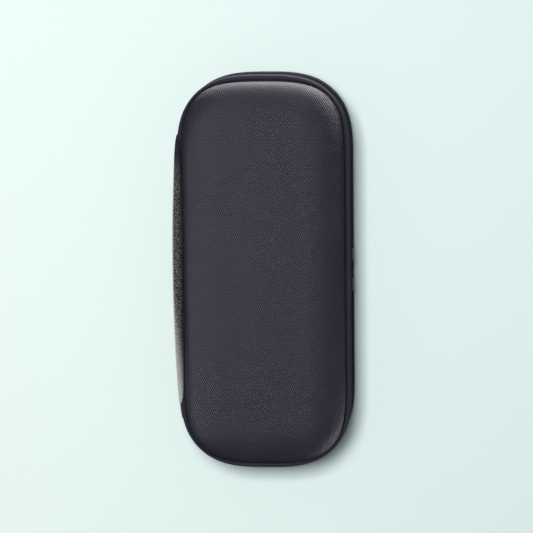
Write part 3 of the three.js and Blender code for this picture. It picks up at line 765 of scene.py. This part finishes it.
# Dark gloss with lighter worn edges.
enamel, tree, shader = new_material("zinc_alloy_dark_enamel", Coat_Weight=0.25, Coat_Roughness=0.12)
place = add_node(tree, "TexCoord", {}, "Object")
scuff = add_node(tree, "TexNoise", {"Vector": place, "Scale": 1 / (SCUFF * MM), "Detail": 4.0})
edges = add_node(tree, "NewGeometry", {}, "Pointiness")
sharp = add_node(tree, "MapRange", {0: edges, 1: SHARP_FROM, 2: SHARP_ALL})
lighter_share = add_node(tree, "Math", {0: sharp, 1: scuff}, operation="MULTIPLY")
tint = add_node(tree, "Mix", {0: lighter_share, 6: linear("#3b3a3e"), 7: linear("#c9c7c4")}, 2, data_type="RGBA")
dress(tree, shader, tint, scuff, 0.02, add_node(tree, "MapRange", {0: scuff, 3: 0.24, 4: 0.46}))
print("enamel:", len(tree.nodes), "nodes")

# %% Slider shapes
SLIDER_HALF, SLIDER_NOSE, SLIDER_TAIL = 4.2, 5.5, 5.5
NOSE_ROUND, TAIL_ROUND, EDGE_ROUND = 3.0, 1.0, 0.5
OUTER_PLATE, INNER_PLATE = (1.8, 2.8), (6.3, 7.3)
WEDGE_RUN, WEDGE_DEPTHS, WEDGE_HALF = (-5.4, -1.0), (2.4, 6.7), (0.8, 0.05)
FLANGE_RUN, FLANGE_DEPTHS, FLANGE_HALF, FLANGE_PLACE = (-2.5, 4.5), (2.4, 5.1), (0.375, 0.375), 3.775
BAIL_FOOT, BAIL_TOP, BAIL_HALF, BAIL_BAR = -2.2, 0.25, 2.55, (0.38, 0.9)
BEND = 0.9
BAR_STEP = 0.3
BAR_END = 0.25


def block(run, depths, place, half, steps=10):
    """A rounded block along the zip, between two depths. Its half height goes from the first of `half` to the last."""
    along = np.concatenate([run[:1], np.linspace(*run, steps), run[1:]])
    size = joined((depths[1] - depths[0]) / 2, np.interp(along, run, half))
    size[[0, -1]] = 0
    return sweep(joined(-sum(depths) / 2, along, place), X, Z, oval(1, 1, power=6) * size[:, None])


def slider_plate(depths, steps=9):
    """A plate with a wide round nose and small round tail corners: rings step in and up round its edge, and close
    on the middle line of the plate."""
    half, nose, tail = SLIDER_HALF, SLIDER_NOSE, SLIDER_TAIL
    corners = [(-nose, -half, NOSE_ROUND, 180), (tail, -half, TAIL_ROUND, 270),
               (tail, half, TAIL_ROUND, 0), (-nose, half, NOSE_ROUND, 90)]
    y, z, radius, first = np.repeat(corners, steps, axis=0).T
    angle = np.radians(first) + np.tile(np.linspace(0, np.pi / 2, steps), len(corners))
    out = joined(np.cos(angle), np.sin(angle))
    edge = joined(y - np.sign(y) * radius, z - np.sign(z) * radius) + radius[:, None] * out
    middle = joined(np.clip(edge[:, 0], half - nose, tail - half), 0)
    turn = np.linspace(-np.pi / 2, np.pi / 2, steps)
    inset = np.concatenate([[EDGE_ROUND], EDGE_ROUND * (1 - np.cos(turn)), [EDGE_ROUND]])
    gather = np.concatenate([[1], 0 * turn, [1]])
    rise = np.concatenate([[-0.5], np.sin(turn) / 2, [0.5]]) * (depths[1] - depths[0])
    flat = rings(edge, out, middle, inset[:, None], gather[:, None])
    points = joined(rise[:, None] - sum(depths) / 2, flat[..., 0], flat[..., 1])
    return surface(points, np.concatenate([flat, flat[:, :1]], 1), closed_columns=True)


def bail():
    """The bent bar that holds the pull, in the plane of (outwards, along): a rounded line with an oval section."""
    corners = [(BAIL_FOOT, -BAIL_HALF), (BAIL_TOP, -BAIL_HALF), (BAIL_TOP, BAIL_HALF), (BAIL_FOOT, BAIL_HALF)]
    path = joined(*even_line(rounded_line(corners, BEND), BAR_STEP).T, 0)
    shut = drawn_ends(travelled(path), BAR_END)[:, None, None]
    across = np.cross(Z, unit(np.gradient(path, axis=0)))
    return sweep(path, across, Z, oval(*BAIL_BAR, count=12, power=3.5) * shut)


slider_shapes = [
    slider_plate(OUTER_PLATE),
    slider_plate(INNER_PLATE),
    block(WEDGE_RUN, WEDGE_DEPTHS, 0, WEDGE_HALF),
    *[block(FLANGE_RUN, FLANGE_DEPTHS, place, FLANGE_HALF) for place in (FLANGE_PLACE, -FLANGE_PLACE)],
    bail(),
]
print(f"a slider has {len(slider_shapes)} shapes")

# %% Pull shapes
EYE_LONG, EYE_HALF, EYE_BAR, EYE_STEP = 5.0, 2.0, 0.55, 0.35
GRIP_START, GRIP_NECK, GRIP_END = 4.9, 5.5, 17.0
GRIP_HALF, GRIP_WAIST, GRIP_THICK = 2.6, 0.9, 0.55
DISH_START, DISH_END, DISH_EDGE = 6.2, GRIP_END - 1.6, 0.5
DISH, DISH_WIDE, DISH_STEEP = 0.3, 0.62, 5.0
SLIDER_PLACE = 6.5
PULL_DEPTH = 0.95


def pull_eye():
    """The frame that swings in the bail: an oval section carried round a rounded rectangle."""
    long, half = EYE_LONG, EYE_HALF
    corners = [(long / 2, half), (long, half), (long, -half), (0, -half), (0, half), (long / 2, half)]
    path = joined(0, *even_line(rounded_line(corners, BEND), EYE_STEP)[:-1].T)
    forward = unit(np.roll(path, -1, axis=0) - np.roll(path, 1, axis=0))
    return sweep(path, np.cross(forward, X), X, oval(EYE_BAR, EYE_BAR, count=12, power=3.5), closed=True)


def pull_grip():
    """The tab: half width w eases from the eye to the waist and out to a round end, and both faces have a shallow
    dish that leaves a raised border."""
    along = np.concatenate([[GRIP_START], np.linspace(GRIP_START, GRIP_END, 48)])
    round_end = GRIP_END - GRIP_HALF
    from_waist = abs(along - (GRIP_NECK + round_end) / 2)
    width = GRIP_HALF - GRIP_WAIST * swell(from_waist, (round_end - GRIP_NECK) / 2)
    width *= np.sqrt(1 - np.clip((along - GRIP_END + GRIP_HALF) / GRIP_HALF, 0, 1) ** 2)
    width[0] = 0
    ring = oval(1, 1, count=40, power=5)
    dish = np.clip((1 - abs(ring[:, 0]) / DISH_WIDE) * DISH_STEEP, 0, 1)
    ends = np.clip(np.minimum(along - DISH_START, DISH_END - along) / DISH_EDGE, 0, 1)
    thick = GRIP_THICK * (1 - DISH * dish * ends[:, None]) * (width > 0)[:, None]
    section = joined(ring[:, 0] * width[:, None], ring[:, 1] * thick)
    return sweep(joined(0, along, 0), Z, X, section)


for half, level, side in halves:
    turn = np.array([1, side, side])
    at = np.array([case_width / 2, side * SLIDER_PLACE, parting])
    placed = [(points * turn + at, faces, uv) for points, faces, uv in slider_shapes]
    make_piece(f"slider_{level}_cast", placed, enamel, f"{level}_slider", f"slider_{level}")
    at = at - (PULL_DEPTH, 0, 0)
    placed = [(points * turn + at, faces, uv) for points, faces, uv in (pull_eye(), pull_grip())]
    make_piece(f"pull_{level}_cast", placed, enamel, f"{level}_pull", f"pull_{level}")

# %% [markdown]
# ## The webbing spine
# A strip of coarse webbing is sewn over both rims on the left and is the hinge. Its yarn is thick enough to throw its
# own shadows, so the weave is in the mesh and not in a bump: the strip's face lifts and sinks with the yarns
# as they pass over and under. It bows out in the middle, thins towards its ends and follows the outline there.
# When the lid opens, the strip has to bend between the two halves, so it is left free and not carried by either.
# Its outermost yarns carry a painted pale sheen with painted glints beside it, and the lower end a painted highlight.

# %% Spine shape
SPINE_LOW = -63.0
SPINE_LENGTH = 122.0
SPINE_REACH = 58.0
SPINE_THICK, SPINE_THIN = 2.1, 0.4
SPINE_SINK = 0.25
SPINE_DRAWN_IN, SPINE_DRAWN_POWER = 0.25, 14
SPINE_UNDER = RIM_ROUND + 0.4
SPINE_RADIUS = SPINE_UNDER + SPINE_THICK / 2
SPINE_LAP = np.radians(60)
SPINE_EDGE, SPINE_END = 1.2, 4.0
YARN = 0.8
YARN_RELIEF = 0.14
YARN_STEP = 0.3


def spine_line():
    """Middle of the strip in (x, z): an arc over the lid's rolled rim, straight down, and an arc under the base's."""
    bead = (-case_width / 2 + RIM_ROUND, RIM_TOP - RIM_ROUND)
    angle = np.linspace(SPINE_LAP, np.pi, 30)
    over = bead + SPINE_RADIUS * joined(np.cos(angle), np.sin(angle))
    under = (over * (1, -1))[::-1]
    return even_line(np.vstack([over, under]), YARN_STEP)


def webbing_sheet():
    """Both faces of the strip: middle line plus or minus half the thickness along its normal, and the yarns' relief
    sin(pi u / yarn) sin(pi v / yarn), which is high where a lengthwise yarn passes over. The thickness falls with
    the square of the distance from the middle, the strip sinks onto the rim alike, and x follows the outline. The
    strip's width is drawn in towards both ends."""
    line = spine_line()
    forward = unit(np.gradient(line, axis=0))
    normal = joined(forward[:, 1], -forward[:, 0])
    distance = travelled(line)
    v = np.linspace(0, SPINE_LENGTH, round(SPINE_LENGTH / YARN_STEP))
    y = SPINE_LOW + v
    spent = np.clip(abs(y - SPINE_MIDDLE) / SPINE_REACH, 0, 1) ** 2
    thick = SPINE_THICK - (SPINE_THICK - SPINE_THIN) * spent
    sunk = (thick - SPINE_THICK) / 2 - SPINE_SINK * spent
    follow = case_width / 2 - np.interp(abs(y), corner[::-1, 1], corner[::-1, 0])
    half = distance[-1] / 2
    u = half + (distance - half)[:, None] * (1 - SPINE_DRAWN_IN * spent**SPINE_DRAWN_POWER)
    line, normal = [at_distance(u, distance, grid) for grid in (line, normal)]
    yarns = np.sin(np.pi * u / YARN) * np.sin(np.pi * v / YARN) * (1 - spent)
    edge = drawn_ends(distance, SPINE_EDGE)[:, None] * drawn_ends(v, SPINE_END)
    lift = edge * (thick / 2 + YARN_RELIEF * yarns)
    sheets = []
    for face in (1, -1):
        flat = line + (sunk + face * lift)[..., None] * normal
        points = joined(flat[..., 0] + follow, y, parting + flat[..., 1])
        sheets.append(surface(points, joined(u, v)))
    return sheets


print(f"the spine's strip is {SPINE_LENGTH:.0f} mm long and {travelled(spine_line())[-1]:.1f} mm wide")

# %% Spine in webbing
# Painted light on the webbing: glints, a sheen along the outer edge and a highlight on the lower end.
GLINT_GRAIN = 0.36
GLINT_NOISE, GLINT_FROM, GLINT_TO, GLINT_SHARE = (0.56, 0.66), (-0.5, 3.5), (7.5, 4.8), 0.65
EDGE_SHEEN_NOISE, EDGE_SHEEN_FROM, EDGE_SHEEN_TO, EDGE_SHEEN_SHARE = (0.2, 0.5), (3.3, 4.3), (6.0, 4.8), 0.75
HIGHLIGHT_SLANT, HIGHLIGHT_FROM, HIGHLIGHT_TO, HIGHLIGHT_LOW = -0.09, (-2.6, 2.2), (9.0, 6.0), (70.0, 40.0)
CUT_SLANT, CUT_FROM = 0.25, (2.0, 4.0)
STREAK, STREAK_MEAN, STREAK_SHARE = (1.6, 1.1), 0.5, 0.3
PALE_BELOW = (114.0, 104.0)


def coarse_yarn(tree, place):
    """The same crossings as in the mesh, so that the crowns of the yarns are lighter than the gaps, which hold painted
    shade.
    """
    return added(tree, 0.0, (ripple(tree, place, 2 * YARN, NO_END), ripple(tree, place, NO_END, 2 * YARN)))


def painted_yarn_highlights(tree, place):
    """How light the webbing is painted: a painted sheen along the outside of the rim, painted glints beside it, and a
    painted highlight over the lower third, reaching from the outside further and further over the rim, in fine
    slanted streaks."""
    u, v = add_node(tree, "SeparateXYZ", {0: place}, slice(0, 2))
    fine = add_node(tree, "TexNoise", {"Vector": place, "Scale": 1 / GLINT_GRAIN, "Detail": 1.0})
    painted_glints = window(tree, (fine, *GLINT_NOISE), (u, *GLINT_FROM), (u, *GLINT_TO))
    painted_edge_sheen = window(tree, (u, *EDGE_SHEEN_FROM), (u, *EDGE_SHEEN_TO), (fine, *EDGE_SHEEN_NOISE))
    slant = added(tree, u, (v, HIGHLIGHT_SLANT))
    cut = added(tree, u, (v, CUT_SLANT))
    painted_highlight = window(tree, (slant, *HIGHLIGHT_FROM), (v, *HIGHLIGHT_LOW), (u, *HIGHLIGHT_TO), (cut, *CUT_FROM))
    streak = added(tree, STREAK_MEAN, (ripple(tree, place, *STREAK), STREAK_SHARE))
    # All the painted light together: highlight streaks, edge sheen and glints.
    pale = added(tree, 0.0, (streak, painted_highlight), (painted_edge_sheen, EDGE_SHEEN_SHARE), (painted_glints, GLINT_SHARE))
    below = window(tree, (v, *PALE_BELOW))
    return add_node(tree, "Math", {0: pale, 1: below}, operation="MULTIPLY", use_clamp=True)


# Dark gaps between lighter yarns as painted shade, with a painted sheen along the outer edge, painted glints beside it
# and a painted highlight on the lower end.
webbing = cloth_material(
    "polyester_webbing_coarse", "#323138", "#060507", coarse_yarn, relief=0.06, roughness=0.5,
    painted_highlight=painted_yarn_highlights, Sheen_Weight=0.4, Sheen_Roughness=0.3)
spine = make_piece("spine_webbing", webbing_sheet(), webbing, None, "spine")
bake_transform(spine)

# %% [markdown]
# ## Elastic strap and loops
# Inside, a wide elastic strap holds the meter, a loop the vial of test strips, and two loops in the lid the lancing
# device. Woven elastic has rubber cores that make round ribs along its length, so the ribs are in the section.
# The band bows from foot to foot, and rows of stitches hold the feet to the lining.

# %% Elastic bands
ELASTIC = 1.2
FOOT_HEIGHT = 0.4
FOOT_TURN = 0.06
RUBBER_RIB, RIB_RELIEF, RIB_POINTS = 1.7, 0.1, 8
FLATNESS = 10
BAND_STEP = 0.6
BAND_END = 0.6
SMOOTHED = 5
PICK = 0.9
SEAM_ROWS = np.array([-0.8, -0.35, 0.35, 0.8])
OVER_LINING = 0.3


def ribbed(half_width, half_thickness):
    """A flat section with round ribs: thickness times (1 - |x|^n)^(1/n), where n is the flatness, plus a ripple of one
    rib's width."""
    x = np.cos(np.linspace(0, np.pi, int(RIB_POINTS * half_width / RUBBER_RIB) + 1))
    body = half_thickness * np.clip(1 - abs(x) ** FLATNESS, 0, 1) ** (1 / FLATNESS)
    thick = body * (1 + RIB_RELIEF * np.cos(2 * np.pi * x * half_width / RUBBER_RIB))
    top = joined(x * half_width, thick)
    return np.vstack([top, (top * (1, -1))[-2:0:-1]])


def band_line(span, rise, foot):
    """Middle of a band: flat foot, half an ellipse, flat foot, with the sharp turns smoothed by averaging."""
    angle = np.linspace(np.pi - FOOT_TURN, FOOT_TURN, 80)
    arch = joined((span / 2 + ELASTIC / 2) * np.cos(angle), (rise + ELASTIC / 2) * np.sin(angle))
    tip = span / 2 + ELASTIC + foot
    line = even_line(np.vstack([(-tip, FOOT_HEIGHT), arch, (tip, FOOT_HEIGHT)]), BAND_STEP)
    kernel = np.ones(SMOOTHED) / SMOOTHED
    inner = joined(*[np.convolve(axis, kernel, "valid") for axis in line.T])
    kept = SMOOTHED // 2
    return np.vstack([line[:kept], inner, line[-kept:]])


def band(size, place, along, up):
    """A ribbed section carried along the bowed line, which stands at `place` and spans the direction `along`, and two
    rows of stitches across each foot."""
    span, rise, foot, width = size
    line = band_line(span, rise, foot)
    path = place + line[:, :1] * along + line[:, 1:] * up
    across = np.cross(along, up)
    thin = joined(1.0, drawn_ends(travelled(path), BAND_END))
    section = ribbed(width / 2, ELASTIC / 2) * thin[:, None]
    strap = sweep(path, across, np.cross(across, unit(np.gradient(path, axis=0))), section)
    count = int(width / STITCH_PITCH)
    step = (np.arange(count) - (count - 1) / 2) * STITCH_PITCH
    reach = np.sign(SEAM_ROWS) * (span / 2 + ELASTIC) + foot * SEAM_ROWS
    middle = place + reach[:, None, None] * along + step[:, None] * across + up * (FOOT_HEIGHT + ELASTIC / 2)
    return strap, stitches(middle.reshape(-1, 3), across, up)


def elastic_weave(tree, place):
    """Cross threads over the ribs."""
    return ripple(tree, place, PICK, NO_END)


# Nearly black and matt, with soft light along the ribs.
elastic = cloth_material(
    "elastic_tape_ribbed", "#302f36", "#17161a", elastic_weave, relief=0.08, roughness=0.7,
    Sheen_Weight=0.3, Sheen_Roughness=0.4)
floor_height = parting - (CROWN_TOP - LINING_IN) + OVER_LINING
roof_height = 2 * parting - floor_height
bands = [
    ("meter_strap", "base", (32, 13, 3, 34), (0, 24, floor_height), X, Z),
    ("vial_loop", "base", (29, 13, 3, 24), (0, -44, floor_height), Y, Z),
    ("lancing_loop_upper", "lid", (14, 11, 2.4, 14), (-10, 32, roof_height), X, -Z),
    ("lancing_loop_lower", "lid", (14, 11, 2.4, 14), (-10, -32, roof_height), X, -Z),
]
for name, body, size, place, along, up in bands:
    strap, seam = band(size, place, along, up)
    make_piece(f"{name}_elastic", [strap], elastic, body, name)
    make_piece(f"{name}_stitches", [seam], thread_polyester, body)

# %% [markdown]
# ## Net pocket
# One half of the lid has a pocket of nylon net with an elastic hem. Holes painted on a plane would look flat when the
# lid is open, so the net is real: two families of cords cross on the slant and pass over and under each
# other. Only the part inside the pocket's outline is kept, and a narrow ribbon covers its cut edge.

# %% Pocket net
NET_CORD = 0.25
NET_STEP = 2.9
NET_WAVE = 0.2
NET_ROUND = 1.5
NET_INSET = BINDING_DEPTH + BINDING_HALF[0] + 0.3
NET_OPEN_EDGE = 6.0
NET_HEIGHT = parting + 7.0
net_reach = case_width / 2 - NET_INSET


def front_half(count):
    """Places along the edge from the middle of the top end, round the front, to the middle of the bottom end."""
    return np.linspace(edge_length / 4, 3 * edge_length / 4, count) - SPINE_MIDDLE


net_edge, net_out = edge_at(front_half(400))
net_outline = net_edge - NET_INSET * net_out


def net_half_length(x):
    """Half the pocket's length at a distance from the middle of the case, from its outline."""
    upper = net_outline[:len(net_outline) // 2]
    return np.interp(x, upper[:, 0], upper[:, 1])


def net_cords(slant):
    """One family of cords: y = y0 + slant (x - x0), with a height that waves once in two crossings."""
    x = np.linspace(NET_OPEN_EDGE, net_reach, 44)
    first = np.arange(-case_length, case_length, NET_STEP)[:, None]
    y = first + slant * (x - NET_OPEN_EDGE)
    z = NET_HEIGHT + slant * NET_WAVE * np.cos(np.pi * (y + slant * (x - NET_OPEN_EDGE)) / NET_STEP)
    ring = oval(NET_CORD, NET_CORD, count=5, power=2)
    axis = np.array([-slant, 1, 0]) / np.sqrt(2)
    points = joined(x, y, z)[:, :, None] + ring[:, :1] * axis + ring[:, 1:] * Z
    around = np.linspace(0, NET_ROUND, len(ring) + 1)
    uv = joined(((x - x[0]) * np.sqrt(2))[:, None], around)
    flat, faces, uv = surface(points, uv, closed_columns=True)
    inside = abs(flat[:, 1]) < net_half_length(flat[:, 0])
    kept = inside[faces].all(1)
    return flat, faces[kept], uv.reshape(-1, 4, 2)[kept].reshape(-1, 2)


# Fine dark cords with a slight gloss, and real gaps between them.
net_nylon = cloth_material(
    "nylon_net_corded", "#2e2d33", "#151518", twist, relief=0.05, roughness=0.55,
    Sheen_Weight=0.15, Sheen_Roughness=0.4)
net = make_piece("pocket_net_cords", [net_cords(1), net_cords(-1)], net_nylon, "lid", "pocket_net")

# %% Loose points and pocket edges
TRIM_INSET = NET_INSET + 1.1
TRIM_HALF = (1.3, 0.45)
TRIM_END = 1.0
HEM_MIDDLE = 3.5
HEM_DROP = 0.6
HEM_HALF = (2.5, 0.95)
GATHER, GATHER_PITCH, GATHER_GROUP = 0.12, 3.1, 41.0
shape = bmesh.new()
shape.from_mesh(net.data)
bmesh.ops.delete(shape, geom=[point for point in shape.verts if not point.link_faces], context="VERTS")
shape.to_mesh(net.data)
shape.free()
trim_run = front_half(200)
trim_shut = drawn_ends(trim_run - trim_run[0], TRIM_END)[:, None, None]
trim = sweep(*edge_frame(trim_run, TRIM_INSET, NET_HEIGHT - parting, 1), oval(*TRIM_HALF) * trim_shut)
net_trim = make_piece("pocket_net_trim", [trim], grosgrain_ribbon, "lid")
hem_y = np.linspace(-1, 1, 220) * (case_length / 2 - NET_INSET)
gathers = 1 + GATHER * np.sin(2 * np.pi * hem_y / GATHER_PITCH) * np.sin(2 * np.pi * hem_y / GATHER_GROUP)
hem_size = joined(1.0, gathers) * drawn_ends(hem_y - hem_y[0], TRIM_END)[:, None]
hem = sweep(joined(HEM_MIDDLE, hem_y, NET_HEIGHT - HEM_DROP), X, Z, ribbed(*HEM_HALF) * hem_size[:, None])
net_hem = make_piece("pocket_hem_elastic", [hem], elastic, "lid", "pocket_hem")

# %% [markdown]
# ## Floor, light and camera
# The photograph is taken from almost straight above with a long lens, a few degrees off towards the front and the top
# end, so a sliver of the lower rim shows there. The floor is pale paper with painted shade that darkens it a little to
# the right, as the lamp's light falls off. One soft lamp hangs above, towards the top end, and gives the narrow shadow
# to the right and below. The gloss would mirror the pale floor and wash out the weave, so floor and sky are kept out
# of it, and it mirrors four lamps of its own: one on the left for the crown, two at the far end for the bright
# shoulder, one for the lower right corner.

# %% Floor
FALLOFF_REACH = 180.0
PULP = 3.0
FLOOR_REACH = 3.0
# Bright and matt, darkening a little to the right as painted shade, so that the dark case and its shadow stand out.
paper, tree, shader = new_material("pale_paper_matt", Roughness=0.9, Specular_IOR_Level=0.2)
place = add_node(tree, "TexCoord", {}, "Object")
pulp = add_node(tree, "TexNoise", {"Vector": place, "Scale": 1 / (PULP * MM), "Detail": 4.0})
tint = add_node(tree, "Mix", {0: pulp, 6: linear("#e8f6f3"), 7: linear("#ecf9f6")}, 2, data_type="RGBA")
right = add_node(tree, "SeparateXYZ", {0: place})
# Painted shade: the paper darkens to the right across this reach, as the lamp's light falls off.
painted_falloff = window(tree, (right, -FALLOFF_REACH * MM, FALLOFF_REACH * MM))
tint = add_node(tree, "Mix", {0: painted_falloff, 6: tint, 7: linear("#daecea")}, 2, data_type="RGBA")
tree.links.new(tint, shader.inputs["Base Color"])
floor_mesh = bpy.data.meshes.new("floor")
floor_corners = [(x * FLOOR_REACH, y * FLOOR_REACH, 0) for x, y in ((-1, -1), (1, -1), (1, 1), (-1, 1))]
floor_mesh.from_pydata(floor_corners, [], [(0, 1, 2, 3)])
floor_mesh.materials.append(paper)
floor = bpy.data.objects.new("floor", floor_mesh)
bpy.context.scene.collection.objects.link(floor)
floor.visible_glossy = False
print(f"floor {2 * FLOOR_REACH:.0f} m wide")

# %% Lights
SKY_STRENGTH = 0.19


def soft_light(name, place, size, power, aim, only_gloss):
    """A white area light that faces a place, both in metres. It is seen either in gloss alone, or in all but gloss."""
    lamp = bpy.data.lights.new(name, "AREA")
    lamp.shape = "RECTANGLE"
    lamp.size, lamp.size_y = size
    lamp.energy = power
    light = bpy.data.objects.new(name, lamp)
    light.location = place
    light.visible_glossy = only_gloss
    light.visible_diffuse = not only_gloss
    light.visible_camera = False
    light.rotation_euler = (light.location - Vector(aim)).to_track_quat("Z", "Y").to_euler()
    bpy.context.scene.collection.objects.link(light)
    print(f"{name}: {power} W")


case_middle = (0, 0, parting * MM)
soft_light("overhead", (-0.04, 0.27, 1.25), (0.3, 0.3), 14.7, case_middle, only_gloss=False)
soft_light("left_gloss", (-0.6, -0.14, 0.8), (0.14, 0.6), 2.3, case_middle, only_gloss=True)
soft_light("far_card", (0.1, 0.155, 0.002), (0.3, 0.1), 0.6, (0.1, 0.155, 1.0), only_gloss=True)
soft_light("far_screen", (0.12, 0.5, 0.09), (0.5, 0.18), 0.7, case_middle, only_gloss=True)
soft_light("near_card", (0.14, -0.16, 0.002), (0.12, 0.12), 0.2, (0.14, -0.16, 1.0), only_gloss=True)
world = bpy.data.worlds.new("studio")
world.use_nodes = True
sky = world.node_tree.nodes["Background"]
sky.inputs["Color"].default_value = linear("#f2fbf9")
sky.inputs["Strength"].default_value = SKY_STRENGTH
world.cycles_visibility.glossy = False
bpy.context.scene.world = world
bpy.context.scene.view_settings.view_transform = "Standard"

# %% Camera
LENS = 200.0
SENSOR = 36.0
FRAME_HEIGHT = 228.3
TILT_FRONT = np.radians(4.8)
TILT_TOP = np.radians(7.8)
ROLL = np.radians(-0.6)
AIM = np.array([-0.05, 1.2, parting])
camera_data = bpy.data.cameras.new("camera")
camera_data.lens = LENS
camera_data.sensor_width = SENSOR
camera = bpy.data.objects.new("camera", camera_data)
camera.rotation_euler = (-TILT_TOP, TILT_FRONT, ROLL)
distance = FRAME_HEIGHT * LENS / SENSOR
away = np.array(camera.rotation_euler.to_matrix())[:, 2]
camera.location = (AIM + distance * away) * MM
bpy.context.scene.collection.objects.link(camera)
bpy.context.scene.camera = camera
print(f"camera {distance:.0f} mm away")
